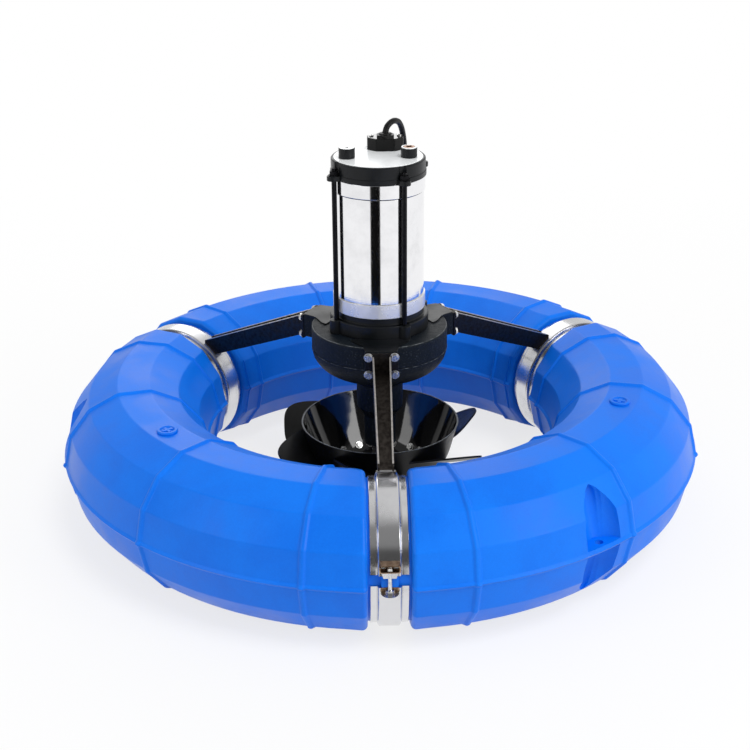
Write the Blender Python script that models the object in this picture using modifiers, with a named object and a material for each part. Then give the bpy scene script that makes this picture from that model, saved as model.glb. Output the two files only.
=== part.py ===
# Floating surface aerator: a ring float in three moulded segments, held by band clamps,
# carries a submersible motor, a planetary gearbox and a bladed impeller bowl on three arms.
# Metres, +Z up. The origin is on the ring's axis, on the surface that the ring rests on.
import math

import bmesh
import bpy
from mathutils import Matrix, Vector

for item in list(bpy.data.objects):
    bpy.data.objects.remove(item, do_unlink=True)

parts = bpy.data.collections.new("surface_aerator")
bpy.context.scene.collection.children.link(parts)

# Gaps and facets shared by all pieces
seat_gap = 0.0003
turning_gap = 0.0004
overrun = 0.004
merge_distance = 0.00003
stack_sides = 24
small_sides = 20
shaft_sides = 16
bolt_sides = 8
full_turn = 2 * math.pi

# Ring float
segment_count = 3
segment_angle = full_turn / segment_count
first_joint = math.radians(-90)
ring_radius = 0.505
float_radius = 0.1449
float_sides = 14
float_wall = 0.006
rib_height = 0.0045
rib_width = 0.009
rib_slope = 0.0015
ridge_height = 0.003
ridge_width = 0.008
shoulder_offset = 0.038
shoulder_size = 0.008
neck_step = 0.0177
neck_radius = float_radius - neck_step
neck_depth = 0.010
lip_step = 0.0065
lip_radius = neck_radius + lip_step
lip_width = 0.015
rib_angles = (math.radians(13.5), math.radians(43.5))
plain_angles = (math.radians(23.5), math.radians(33.5), math.radians(51.75))
cavity_angles = (math.radians(13.5), math.radians(28.5), math.radians(43.5))
facet_share = math.cos(math.pi / float_sides)
equator_height = (float_radius + rib_height) * facet_share

# Mooring eye in each segment
eye_angle = math.radians(36.75)
eye_radius = 0.008
eye_inset = 0.0169
eye_reach = ring_radius + float_radius - eye_inset
scoop_radius = 0.024
scoop_offset = 0.009
scoop_reach = eye_reach + scoop_offset
scoop_rise_share = 0.497
scoop_rise = float_radius * scoop_rise_share
scoop_drop_share = 0.31
scoop_drop = float_radius * scoop_drop_share
eye_plate = 0.012

# Screwed plug in each segment
plug_angle = math.radians(66.5)
plug_head_radius = 0.020
plug_head_height = 0.005
plug_stem_radius = 0.0135
plug_stem_length = 0.016

# Band clamps
band_width = 0.068
bead_width = 0.038
band_sheet = 0.0025
bead_step = 0.0015
flank_radius = neck_radius + seat_gap + band_sheet
bead_radius = lip_radius + seat_gap + band_sheet
split_low = 0.001
split_high = 0.022
ear_low = 0.034
ear_high = 0.049
ear_stand = 0.0085
ear_reach = bead_radius + ear_stand
ear_depth = 0.0072
ear_root = neck_radius - ear_depth
ledge_low = -0.0155
ledge_high = -0.0093
ledge_stand = 0.007
ledge_reach = bead_radius + ledge_stand
ledge_half_width = 0.012
clamp_bolt_reach = bead_radius
clamp_bolt_radius = 0.004
clamp_bolt_hole = clamp_bolt_radius + turning_gap
clamp_head_radius = 0.0075
clamp_head_height = 0.006
clamp_nut_radius = 0.0085
clamp_nut_height = 0.0068
clamp_bolt_tail = 0.001
notch_half_width = 0.011
notch_reach = neck_radius + turning_gap
notch_low = -0.022
notch_high = 0.040
pocket_half_width = 0.010

# Gearbox, heights counted from the float's equator
gearbox_radius = 0.1388
gearbox_edge = 0.003
gearbox_top = 0.236
gearbox_parting = 0.1893
gearbox_roof = 0.010
gearbox_wall = 0.0113
gearbox_cavity = gearbox_radius - gearbox_wall
boss_stand = 0.0232
boss_reach = gearbox_radius + boss_stand
boss_depth = 0.0238
boss_root = gearbox_radius - boss_depth
boss_half_width = 0.0325
boss_rise = 0.001
lower_bottom = 0.1123
outside_shares = (1, 0.965, 0.865, 0.720, 0.598)
outside_heights = (0.186, 0.170, 0.152, 0.140, 0.136)
lower_neck = ((0.060, 0.127), (0.050, lower_bottom))
inside_shares = (0.540, 0.720, 0.854)
inside_heights = (0.150, 0.160, 0.174)
lower_floor = 0.146
lower_lip_radius = 0.019
lower_lip_height = 0.0057

# Planetary gears
sun_teeth = 9
planet_teeth = 18
ring_teeth = sun_teeth + 2 * planet_teeth
ring_rim_share = 3
gear_module = gearbox_cavity / (ring_teeth / 2 + ring_rim_share)
planet_count = 3
addendum_share = 0.8
dedendum_share = 1.15
backlash = 0.0006
pressure_angle = math.radians(20)
gear_width = 0.026
gear_bottom = 0.1935
centre_distance = gear_module * (sun_teeth + planet_teeth) / 2
planet_phase = math.radians(5)
first_planet = math.radians(90)
ring_gear_radius = gearbox_cavity - seat_gap
pin_radius = 0.009
pin_sides = 12
carrier_edge = 0.0185
carrier_radius = centre_distance + pin_radius + carrier_edge
carrier_bottom = 0.176
carrier_top = 0.188
carrier_step = 0.004

# Shafts and bearings
output_radius = 0.017
stud_radius = 0.009
hub_seat = -0.112
stud_bottom = -0.137
bearing_outer = 0.0301
bearing_height = 0.019
upper_bearing_bottom = lower_bottom + lower_lip_height + seat_gap
housing_outer = 0.048
housing_shoulder = 0.056
sleeve_outer = 0.033
sleeve_top = 0.036
sleeve_bottom = -0.030
lower_bearing_bottom = 0.080
seal_outer = 0.0251
seal_height = 0.0092
shaft_share = 2.4
rotor_radius = gear_module * shaft_share
rotor_bottom = 0.1925
rotor_top = 0.5715
rotor_clearance = 0.0025
rotor_hole = rotor_radius + rotor_clearance
rotor_bearing_ring = 0.0055
rotor_bearing_outer = rotor_radius + rotor_bearing_ring
rotor_bearing_height = 0.014

# Motor
barrel_radius = 0.0903
barrel_wall = 0.003
barrel_top = 0.5224
seat_pad_step = 0.0097
seat_pad_radius = barrel_radius + seat_pad_step
seat_pad_top = 0.265
seat_neck_inset = 0.0003
seat_neck_radius = barrel_radius - seat_neck_inset
seat_neck_top = 0.2792
lower_collar_step = 0.003
lower_collar_radius = barrel_radius + lower_collar_step
lower_collar_bottom = seat_neck_top + seat_gap
lower_collar_top = 0.308
shield_floor = 0.0125
shield_boss_radius = 0.030
shield_boss_top = 0.300
upper_collar_step = 0.0022
upper_collar_radius = barrel_radius + upper_collar_step
upper_collar_wall = 0.0055
upper_collar_top = 0.5507
cap_flange_step = 0.0042
cap_flange_radius = barrel_radius + cap_flange_step
ear_pad_height = 0.010
cap_flange_top = upper_collar_top + seat_gap + ear_pad_height
cap_body_step = 0.0027
cap_body_radius = barrel_radius + cap_body_step
cap_edge = 0.005
cap_disc_radius = cap_body_radius - cap_edge
cap_shoulder = 0.583
cap_top = 0.5865
cap_wall = 0.013
cap_cavity = cap_body_radius - cap_wall
cap_cavity_top = 0.577
cap_boss_radius = 0.026
cap_boss_bottom = 0.554
core_radius = barrel_radius - barrel_wall - seat_gap
stator_bore_share = 0.534
stator_bore = core_radius * stator_bore_share
core_bottom = 0.330
core_top = 0.500
winding_inset = 0.007
winding_outer = core_radius - winding_inset
winding_step = 0.0055
winding_inner = stator_bore + winding_step
winding_height = 0.018
air_gap = 0.0015
rotor_core_radius = stator_bore - air_gap

# Tie rods
rod_count = 4
rod_phase = math.radians(28.85)
rod_stand = 0.0087
rod_circle = barrel_radius + rod_stand
rod_radius = 0.005
rod_bottom = 0.2553
rod_top = 0.5755
rod_nut_radius = 0.0095
rod_nut_height = 0.008
nut_pocket_gap = 0.001
ear_pad_depth = 0.014
ear_pad_root = rod_circle - ear_pad_depth
ear_pad_past = 0.012
ear_pad_reach = rod_circle + ear_pad_past
ear_pad_half_width = 0.012

# Fittings on the cap
plug_places = {"oil_plug": (-0.0613, -0.0136), "brass_plug": (0.0597, -0.0124)}
cap_plug_radius = 0.016
cap_plug_height = 0.020
cap_plug_socket_radius = 0.006
cap_plug_socket_depth = 0.010
box_centre = (0.0155, 0.0545)
box_half_length = 0.036
box_half_depth = 0.024
box_height = 0.024
gland_place = (0.0155, 0.0510)
gland_radius = 0.0195
gland_height = 0.009

# Arms, in the plane of each joint, heights counted from the float's equator
arm_flange_inner = boss_reach + seat_gap
arm_flange_thickness = 0.005
arm_flange_bottom = 0.185
arm_flange_top = 0.2365
arm_sheet = 0.003
foot_start = math.radians(123)
foot_end = math.radians(140)
foot_steps = 4
arm_end = ring_radius + bead_radius * math.cos(foot_start)
arm_inner_top = 0.2341
arm_top_rise = 0.0096
arm_outer_top = bead_radius * math.sin(foot_start) + arm_top_rise
arm_inner_bottom = 0.1902
arm_foot_drop = 0.0027
arm_outer_bottom = bead_radius * math.sin(foot_end) - arm_foot_drop
arm_inner_half_width = 0.018
arm_outer_half_width = 0.0145
foot_thickness = 0.0035
foot_half_width = 0.018
arm_bolt_side = 0.0255
arm_bolt_rise = 0.018
arm_bolt_middle = 0.211
arm_bolt_radius = 0.004
arm_bolt_hole = arm_bolt_radius + turning_gap
arm_bolt_depth = 0.017
arm_head_radius = 0.0075
arm_head_height = 0.0055

# Impeller
bowl_rim = ((0.1645, 0.0195), (0.1615, 0.010))
bowl_curve = ((0.148, -0.040), (0.127, -0.080), (0.098, -0.108), (0.060, -0.121))
bowl_floor = ((0.030, -0.123),)
bowl_wall = 0.003
hub_radius = 0.030
hub_top = -0.070
hub_bottom = -0.123
impeller_nut_radius = 0.017
impeller_nut_height = 0.0115
blade_count = 6
blade_phase = math.radians(22.95)
blade_sweep = math.radians(41.5)
blade_rise = math.radians(3)
blade_tilt = math.radians(60.9)
blade_thickness = 0.004
blade_middle = 0.1497
blade_reach = 0.0869
blade_half_chord = 0.0671
blade_height = -0.0365
blade_points = 24
blade_squareness = 3.4
trim_sides = 72

# Supply cable
cable_radius = 0.006
cable_turn_radius = 0.066
cable_layers = 2
coil_centre = (0.096, 0.830)
core_wire_radius = 0.0016
core_wire_length = 0.030
core_wire_count = 4
tail_length = 0.050
cable_route = (
    (0.0155, 0.0510, 0.7570), (0.0160, 0.0513, 0.7670), (0.0205, 0.0545, 0.7780),
    (0.0320, 0.0650, 0.7850), (0.0445, 0.0840, 0.7765), (0.0525, 0.1030, 0.7480),
    (0.0560, 0.1160, 0.7000), (0.0540, 0.1160, 0.6000), (0.0500, 0.1180, 0.5000),
    (0.0460, 0.1420, 0.4250), (0.0420, 0.2100, 0.3650), (0.0380, 0.3000, 0.3280),
    (0.0340, 0.4000, 0.3080), (0.0310, 0.5050, 0.2945), (0.0300, 0.5450, 0.2920),
    (0.0300, 0.5840, 0.2760), (0.0300, 0.6200, 0.2450), (0.0300, 0.6440, 0.2080),
    (0.0300, 0.6560, 0.1600), (0.0300, 0.6600, 0.1100), (0.0300, 0.6680, 0.0600),
    (0.0300, 0.6880, 0.0220), (0.0300, 0.7180, 0.0075), (0.0300, 0.7520, 0.0066),
    (0.0300, 0.7810, 0.0066))
cable_points_per_leg = 2
cable_roundness = 1

colours = {
    "blue_plastic": ((0.012, 0.200, 0.850, 1), 0.35, 0.0),
    "dark_blue_plastic": ((0.010, 0.150, 0.650, 1), 0.40, 0.0),
    "polished_steel": ((0.800, 0.800, 0.820, 1), 0.12, 1.0),
    "zinc": ((0.700, 0.700, 0.690, 1), 0.30, 1.0),
    "cast_iron": ((0.014, 0.015, 0.017, 1), 0.55, 0.2),
    "black_enamel": ((0.008, 0.008, 0.009, 1), 0.15, 0.0),
    "gear_steel": ((0.450, 0.450, 0.460, 1), 0.35, 1.0),
    "core_iron": ((0.250, 0.250, 0.260, 1), 0.50, 0.8),
    "copper": ((0.720, 0.300, 0.120, 1), 0.35, 1.0),
    "brass": ((0.750, 0.500, 0.180, 1), 0.25, 1.0),
    "black_plastic": ((0.012, 0.012, 0.013, 1), 0.45, 0.0),
    "black_rubber": ((0.010, 0.010, 0.010, 1), 0.60, 0.0),
}


def make_material(name, colour_name):
    colour, roughness, metallic = colours[colour_name]
    material = bpy.data.materials.new(name)
    material.use_nodes = True
    shader = material.node_tree.nodes["Principled BSDF"]
    shader.inputs["Base Color"].default_value = colour
    shader.inputs["Roughness"].default_value = roughness
    shader.inputs["Metallic"].default_value = metallic
    return material


def temporary(mesh):
    piece = bpy.data.objects.new("shape", mesh)
    bpy.context.scene.collection.objects.link(piece)
    return piece


def frozen(piece):
    """The mesh of a temporary object after its modifiers, which then goes."""
    bpy.context.view_layer.update()
    graph = bpy.context.evaluated_depsgraph_get()
    mesh = bpy.data.meshes.new_from_object(piece.evaluated_get(graph), depsgraph=graph)
    mesh.transform(piece.matrix_world)
    bpy.data.objects.remove(piece, do_unlink=True)
    return mesh


def lathe(profile, sides, closed=True):
    """Turn a profile of (radius, height) about Z; an open one starts and ends on the axis."""
    count = len(profile)
    edges = [(i, i + 1) for i in range(count - 1)]
    if closed:
        edges.append((count - 1, 0))
    mesh = bpy.data.meshes.new("profile")
    mesh.from_pydata([(radius, 0, height) for radius, height in profile], edges, [])
    piece = temporary(mesh)
    screw = piece.modifiers.new("turn", "SCREW")
    screw.steps = sides
    screw.render_steps = sides
    screw.use_merge_vertices = True
    screw.merge_threshold = merge_distance
    return frozen(piece)


def drum(radius, bottom, top, sides):
    return lathe(((0, top), (radius, top), (radius, bottom), (0, bottom)), sides, closed=False)


def tube(outer, inner, bottom, top, sides):
    return lathe(((inner, top), (outer, top), (outer, bottom), (inner, bottom)), sides)


def block(low, high):
    """A box between two corners."""
    work = bmesh.new()
    bmesh.ops.create_cube(work, size=1)
    for vert in work.verts:
        vert.co = Vector([low[i] if vert.co[i] < 0 else high[i] for i in range(3)])
    return finished(work)


def finished(work):
    bmesh.ops.recalc_face_normals(work, faces=work.faces)
    mesh = bpy.data.meshes.new("solid")
    work.to_mesh(mesh)
    work.free()
    return mesh


def moved(mesh, matrix):
    copy = mesh.copy()
    copy.transform(matrix)
    return copy


def shifted(mesh, x, y, z):
    return moved(mesh, Matrix.Translation((x, y, z)))


def turned(mesh, angle):
    return moved(mesh, Matrix.Rotation(angle, 4, "Z"))


def combined(base, others, operation):
    """One Boolean after another, each with the exact solver."""
    for other in others:
        target = temporary(base)
        tool = temporary(other)
        change = target.modifiers.new("change", "BOOLEAN")
        change.operation = operation
        change.solver = "EXACT"
        change.object = tool
        base = frozen(target)
        bpy.data.objects.remove(tool, do_unlink=True)
    return base


def cut(base, *tools):
    return combined(base, tools, "DIFFERENCE")


def joined(base, *tools):
    return combined(base, tools, "UNION")


def merged(meshes):
    """Cutters used together."""
    work = bmesh.new()
    for mesh in meshes:
        work.from_mesh(mesh)
    return finished(work)


def around(mesh, count, start=0.0):
    """Copies of a mesh at even steps about Z."""
    return [turned(mesh, start + full_turn * i / count) for i in range(count)]


def prism(outline, low, high):
    """A flat outline in X and Y, given thickness along Z."""
    curve = bpy.data.curves.new("outline", "CURVE")
    curve.dimensions = "2D"
    curve.fill_mode = "BOTH"
    curve.extrude = (high - low) / 2
    line = curve.splines.new("POLY")
    line.points.add(len(outline) - 1)
    for point, (x, y) in zip(line.points, outline):
        point.co = (x, y, 0, 1)
    line.use_cyclic_u = True
    piece = temporary(curve)
    piece.location.z = (low + high) / 2
    work = bmesh.new()
    work.from_mesh(frozen(piece))
    bmesh.ops.remove_doubles(work, verts=work.verts, dist=merge_distance)
    return finished(work)


def hexagon(radius, bottom, top):
    """A hexagonal prism with flats towards X, and its across-corner radius."""
    corners = [full_turn * (i + 0.5) / 6 for i in range(6)]
    return prism([(radius * math.cos(a), radius * math.sin(a)) for a in corners], bottom, top)


def placed(name, mesh, colour_name, location=(0, 0, equator_height), turn=0.0, smooth=True):
    """A named sub-part with its own material."""
    mesh.name = name
    if smooth:
        mesh.shade_smooth()
        mesh.set_sharp_from_angle(angle=math.radians(35))
    piece = bpy.data.objects.new(name, mesh)
    parts.objects.link(piece)
    piece.location = location
    piece.rotation_euler.z = turn
    if not mesh.materials:
        mesh.materials.append(make_material(name, colour_name))
    return piece


def joint_angle(index):
    return first_joint + segment_angle * index


# Ring float
def float_section(radius):
    """Points of the moulded section, with a moulding ridge at its outer and inner equator."""
    points = []
    for i in range(float_sides):
        angle = full_turn * i / float_sides
        if i in (0, float_sides // 2):
            side = 1 if i == 0 else -1
            for height in (-side * ridge_width / 2, 0, side * ridge_width / 2):
                reach = radius - abs(height) * math.tan(math.pi / float_sides)
                points.append((side * (reach if height else radius + ridge_height), height))
        else:
            points.append((radius * math.cos(angle), radius * math.sin(angle)))
    return points


def plain_section(radius):
    angles = [full_turn * i / float_sides for i in range(float_sides)]
    return [(radius * math.cos(a), radius * math.sin(a)) for a in angles]


def half_stations(radius):
    """Stations from the first shoulder to mid-segment: (angle or None, offset, radius)."""
    half_foot = rib_width / 2 / ring_radius
    half_top = half_foot - rib_slope / ring_radius
    inner = [(angle, 0, radius) for angle in plain_angles]
    for angle in rib_angles:
        inner += [(angle - half_foot, 0, radius), (angle - half_top, 0, radius + rib_height),
                  (angle + half_top, 0, radius + rib_height), (angle + half_foot, 0, radius)]
    return [(None, shoulder_offset, radius - shoulder_size),
            (None, shoulder_offset + shoulder_size, radius)] + sorted(inner)


def station_ring(section, station, mirror):
    """World points of a section at one station, counted from either end of the segment."""
    angle, offset, radius = station
    points = []
    for u, height in section(radius):
        reach = ring_radius + u
        if angle is None:
            x, y = reach, offset
        else:
            x, y = reach * math.cos(angle), reach * math.sin(angle)
        point = Vector((x, y, height))
        if mirror:
            point.y = -point.y
            point.rotate(Matrix.Rotation(segment_angle, 3, "Z"))
        points.append(point)
    return points


def loft(section, stations, middle_radius):
    """A closed solid through the stations, mid-segment and the mirrored stations."""
    middle = (segment_angle / 2, 0, middle_radius)
    rings = [station_ring(section, s, False) for s in stations]
    rings.append(station_ring(section, middle, False))
    rings += [station_ring(section, s, True) for s in reversed(stations)]
    work = bmesh.new()
    loops = [[work.verts.new(point) for point in ring] for ring in rings]
    count = len(loops[0])
    for near, far in zip(loops, loops[1:]):
        for i in range(count):
            j = (i + 1) % count
            work.faces.new((near[i], near[j], far[j], far[i]))
    work.faces.new(loops[0])
    work.faces.new(loops[-1])
    return finished(work)


def float_cavity():
    inside = float_radius - float_wall
    hollow_start = shoulder_offset + shoulder_size
    neck_inside = neck_radius - float_wall
    stations = [(None, float_wall, neck_inside),
                (None, shoulder_offset + float_wall, neck_inside),
                (None, hollow_start + float_wall, inside)]
    stations += [(angle, 0, inside) for angle in cavity_angles]
    cavity = loft(plain_section, stations, inside)
    eye_boss = drum(scoop_radius + float_wall, -scoop_drop - float_wall, scoop_rise + float_wall,
                    shaft_sides)
    return cut(cavity, at_angle(eye_boss, eye_angle, scoop_reach))


def at_angle(mesh, angle, reach):
    return moved(mesh, Matrix.Rotation(angle, 4, "Z") @ Matrix.Translation((reach, 0, 0)))


def joint_frame(end_angle):
    """From joint axes (X outwards, Y up, Z along the ring) to the ring's axes."""
    return (Matrix.Rotation(end_angle, 4, "Z") @ Matrix.Translation((ring_radius, 0, 0))
            @ Matrix.Rotation(math.pi / 2, 4, "X"))


def float_mesh():
    body = loft(float_section, half_stations(float_radius), float_radius)
    inset = shoulder_offset + neck_depth
    # the neck lies along -Z of the joint's axes at the start joint and +Z at the end joint
    for end_angle, side in ((0, -1), (segment_angle, 1)):
        profile = [(0, inset), (neck_radius, inset), (neck_radius, lip_width),
                   (lip_radius, lip_width), (lip_radius, seat_gap / 2), (0, seat_gap / 2)]
        spigot = lathe(profile, small_sides, closed=False)
        if side < 0:
            spigot = moved(spigot, Matrix.Rotation(math.pi, 4, "X"))
        body = joined(body, moved(spigot, joint_frame(end_angle)))
        notch = block((notch_reach, notch_low, -notch_half_width),
                      (float_radius, notch_high, notch_half_width))
        body = cut(body, moved(notch, joint_frame(end_angle)))
    body = cut(body, float_cavity())
    upper = drum(scoop_radius, eye_plate / 2, scoop_rise, shaft_sides)
    lower = drum(scoop_radius, -scoop_drop, -eye_plate / 2, shaft_sides)
    # the eye's corners stand clear of the pocket's middle line
    eye = turned(drum(eye_radius, -eye_plate, eye_plate, bolt_sides), math.pi / bolt_sides)
    plug_hole = drum(plug_stem_radius + turning_gap, float_radius * facet_share - 2 * float_wall,
                     float_radius + overrun, shaft_sides)
    return cut(body, at_angle(upper, eye_angle, scoop_reach), at_angle(lower, eye_angle, scoop_reach),
               at_angle(eye, eye_angle, eye_reach), at_angle(plug_hole, plug_angle, ring_radius))


def float_plug_mesh():
    top = float_radius * facet_share + seat_gap
    profile = ((0, top + plug_head_height), (plug_head_radius, top + plug_head_height),
               (plug_head_radius, top), (plug_stem_radius, top),
               (plug_stem_radius, top - plug_stem_length), (0, top - plug_stem_length))
    return lathe(profile, shaft_sides, closed=False)


def build_floats():
    segment = float_mesh()
    plug = at_angle(float_plug_mesh(), plug_angle, ring_radius)
    for i in range(segment_count):
        placed(f"float_{i + 1}", segment, "blue_plastic", turn=joint_angle(i))
        placed(f"float_plug_{i + 1}", plug, "dark_blue_plastic", turn=joint_angle(i))


# Band clamps
def band_mesh():
    half_bead = bead_width / 2
    half_band = band_width / 2
    outer = ((0, half_band), (flank_radius, half_band), (flank_radius, half_bead + bead_step),
             (bead_radius, half_bead), (bead_radius, -half_bead),
             (flank_radius, -half_bead - bead_step), (flank_radius, -half_band), (0, -half_band))
    inner_half = half_bead - band_sheet
    flank_in = flank_radius - band_sheet
    bead_in = bead_radius - band_sheet
    past = half_band + overrun
    inner = ((0, past), (flank_in, past), (flank_in, inner_half), (bead_in, inner_half),
             (bead_in, -inner_half), (flank_in, -inner_half), (flank_in, -past), (0, -past))
    ear = block((ear_root, ear_low, -half_bead), (ear_reach, ear_high, half_bead))
    ledge = block((ear_root, ledge_low, -ledge_half_width), (ledge_reach, ledge_high, ledge_half_width))
    band = joined(lathe(outer, small_sides, closed=False), ear, ledge)
    split = block((ear_root - overrun, split_low, -past), (ear_reach + overrun, split_high, past))
    pocket = block((notch_reach, ledge_high, -pocket_half_width),
                   (ear_reach + overrun, split_low + overrun, pocket_half_width))
    hole = upright(drum(clamp_bolt_hole, ledge_low - overrun, ear_high + overrun, bolt_sides))
    return cut(band, lathe(inner, small_sides, closed=False), split, pocket, hole)


def upright(mesh):
    """Stand a mesh made along Z up along the joint's Y, at the clamp bolt's place."""
    return moved(mesh, Matrix.Translation((clamp_bolt_reach, 0, 0))
                 @ Matrix.Rotation(-math.pi / 2, 4, "X"))


def clamp_bolt_mesh():
    head_low = ear_high + seat_gap
    shank_low = ledge_low - clamp_bolt_tail
    shank = drum(clamp_bolt_radius, shank_low, head_low + clamp_head_height / 2, bolt_sides)
    head = hexagon(clamp_head_radius, head_low, head_low + clamp_head_height)
    nut_low = ledge_high + seat_gap
    nut = hexagon(clamp_nut_radius, nut_low, nut_low + clamp_nut_height)
    return upright(joined(shank, head, nut))


def build_clamps():
    frame = joint_frame(0)
    meshes = (("band_clamp", moved(band_mesh(), frame), "polished_steel"),
              ("clamp_bolt", moved(clamp_bolt_mesh(), frame), "zinc"))
    for i in range(segment_count):
        for name, mesh, colour_name in meshes:
            placed(f"{name}_{i + 1}", mesh, colour_name, turn=joint_angle(i))


# Arms
def tapered_block(inner, outer, start, end):
    """A box whose two ends differ, each end given as (bottom, top, half width)."""
    work = bmesh.new()
    bmesh.ops.create_cube(work, size=1)
    for vert in work.verts:
        bottom, top, half_width = inner if vert.co.x < 0 else outer
        x = start if vert.co.x < 0 else end
        y = -half_width if vert.co.y < 0 else half_width
        vert.co = Vector((x, y, bottom if vert.co.z < 0 else top))
    return finished(work)


def arm_bolt_places():
    return [(side * arm_bolt_side, arm_bolt_middle + rise * arm_bolt_rise)
            for side in (-1, 1) for rise in (-1, 1)]


def along_arm(mesh, y, z):
    """Lay a mesh made along Z out along the arm, at one bolt's place."""
    return moved(mesh, Matrix.Translation((0, y, z)) @ Matrix.Rotation(math.pi / 2, 4, "Y"))


def arm_mesh():
    face = arm_flange_inner + arm_flange_thickness
    flange = block((arm_flange_inner, -boss_half_width, arm_flange_bottom),
                   (face, boss_half_width, arm_flange_top))
    root = arm_flange_inner + arm_flange_thickness / 2
    channel = tapered_block((arm_inner_bottom, arm_inner_top, arm_inner_half_width),
                            (arm_outer_bottom, arm_outer_top, arm_outer_half_width), root, arm_end)
    hollow = tapered_block(
        (arm_inner_bottom + arm_sheet, arm_inner_top + overrun, arm_inner_half_width - arm_sheet),
        (arm_outer_bottom + arm_sheet, arm_outer_top + overrun, arm_outer_half_width - arm_sheet),
        face, arm_end + overrun)
    channel = cut(channel, hollow)
    seat = bead_radius + seat_gap
    angles = [foot_start + (foot_end - foot_start) * i / foot_steps for i in range(foot_steps + 1)]
    outline = [(seat * math.cos(a), seat * math.sin(a)) for a in angles]
    top = seat + foot_thickness
    outline += [(top * math.cos(a), top * math.sin(a)) for a in reversed(angles)]
    foot = moved(prism(outline, -foot_half_width, foot_half_width), joint_frame(0))
    clearance = moved(drum(seat, -band_width / 2, band_width / 2, 2 * small_sides), joint_frame(0))
    head = hexagon(arm_head_radius, face - seat_gap, face + arm_head_height)
    shank = drum(arm_bolt_radius, boss_reach - arm_bolt_depth, face + arm_head_height / 2, bolt_sides)
    bolt = joined(turned(head, math.pi / 2), shank)
    arm = cut(joined(channel, foot, flange), clearance)
    return joined(arm, *[along_arm(bolt, y, z) for y, z in arm_bolt_places()])


def build_arms():
    arm = arm_mesh()
    for i in range(segment_count):
        placed(f"arm_{i + 1}", arm, "polished_steel", turn=joint_angle(i))


# Gearbox
def tooth_outline(teeth, addendum, dedendum, play):
    """Teeth with flats from root to tip that follow the involute at both ends."""
    pitch = gear_module * teeth / 2
    base = pitch * math.cos(pressure_angle)
    tip = pitch + addendum * gear_module
    root = pitch - dedendum * gear_module
    half_pitch = math.pi / (2 * teeth) - play / (2 * pitch)
    involute = math.tan(pressure_angle) - pressure_angle

    def half_angle(radius):
        if radius <= base:
            return half_pitch + involute
        angle = math.acos(base / radius)
        return half_pitch + involute - (math.tan(angle) - angle)

    outline = []
    for i in range(teeth):
        middle = full_turn * i / teeth
        for radius, side in ((root, -1), (tip, -1), (tip, 1), (root, 1)):
            angle = middle + side * half_angle(radius)
            outline.append((radius * math.cos(angle), radius * math.sin(angle)))
    return outline


def gear_mesh(teeth, bore, sides):
    outline = tooth_outline(teeth, addendum_share, dedendum_share, backlash)
    gear = prism(outline, gear_bottom, gear_bottom + gear_width)
    return cut(gear, drum(bore, gear_bottom - overrun, gear_bottom + gear_width + overrun, sides))


def ring_gear_mesh():
    outline = tooth_outline(ring_teeth, dedendum_share, addendum_share, -backlash)
    space = prism(outline, gear_bottom - overrun, gear_bottom + gear_width + overrun)
    return cut(drum(ring_gear_radius, gear_bottom, gear_bottom + gear_width, stack_sides), space)


def gearbox_housing_mesh():
    roof = gearbox_top - gearbox_roof
    lid = lathe(((0, gearbox_top), (gearbox_radius - gearbox_edge, gearbox_top),
                 (gearbox_radius, gearbox_top - gearbox_edge),
                 (gearbox_radius, gearbox_parting), (0, gearbox_parting)), stack_sides, closed=False)
    boss = block((boss_root, -boss_half_width, gearbox_parting),
                 (boss_reach, boss_half_width, gearbox_top + boss_rise))
    body = joined(lid, *around(boss, segment_count, first_joint))
    cavity = drum(gearbox_cavity, gearbox_parting - overrun, roof, stack_sides)
    body = cut(body, cavity, drum(rotor_hole, roof - overrun, gearbox_top + overrun, shaft_sides))
    hole = drum(arm_bolt_hole, boss_reach - arm_bolt_depth - seat_gap, boss_reach + overrun, bolt_sides)
    holes = merged([along_arm(hole, y, z) for y, z in arm_bolt_places()])
    return cut(body, *around(holes, segment_count, first_joint))


def gearbox_bottom_mesh():
    parting = gearbox_parting - seat_gap
    lip_top = lower_bottom + lower_lip_height
    bearing_seat = bearing_outer + seat_gap
    profile = [(gearbox_radius, parting)]
    profile += [(gearbox_radius * share, height) for share, height in zip(outside_shares, outside_heights)]
    profile += list(lower_neck)
    profile += [(lower_lip_radius, lower_bottom), (lower_lip_radius, lip_top),
                (bearing_seat, lip_top), (bearing_seat, lower_floor)]
    profile += [(gearbox_radius * share, height) for share, height in zip(inside_shares, inside_heights)]
    return lathe(profile + [(gearbox_cavity, parting)], stack_sides)


def shaft_housing_mesh():
    top = lower_bottom - seat_gap
    bearing_seat = bearing_outer + seat_gap
    bearing_floor = lower_bearing_bottom - seat_gap
    seal_seat = seal_outer + seat_gap
    seal_roof = sleeve_bottom + seal_height + seat_gap
    profile = ((bearing_seat, top), (housing_outer, top), (housing_outer, housing_shoulder),
               (sleeve_outer, sleeve_top), (sleeve_outer, sleeve_bottom), (seal_seat, sleeve_bottom),
               (seal_seat, seal_roof), (lower_lip_radius, seal_roof),
               (lower_lip_radius, bearing_floor), (bearing_seat, bearing_floor))
    return lathe(profile, small_sides)


def build_gearbox():
    shaft_bore = output_radius + turning_gap
    placed("gearbox_housing", gearbox_housing_mesh(), "cast_iron")
    placed("gearbox_bottom", gearbox_bottom_mesh(), "cast_iron")
    placed("shaft_housing", shaft_housing_mesh(), "cast_iron")
    placed("ring_gear", ring_gear_mesh(), "gear_steel")
    for name, bottom in (("shaft_bearing_upper", upper_bearing_bottom),
                         ("shaft_bearing_lower", lower_bearing_bottom)):
        mesh = tube(bearing_outer, shaft_bore, bottom, bottom + bearing_height, small_sides)
        placed(name, mesh, "gear_steel")
    seal = tube(seal_outer, shaft_bore, sleeve_bottom + seat_gap, sleeve_bottom + seal_height,
                small_sides)
    placed("shaft_seal", seal, "black_rubber")


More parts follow.
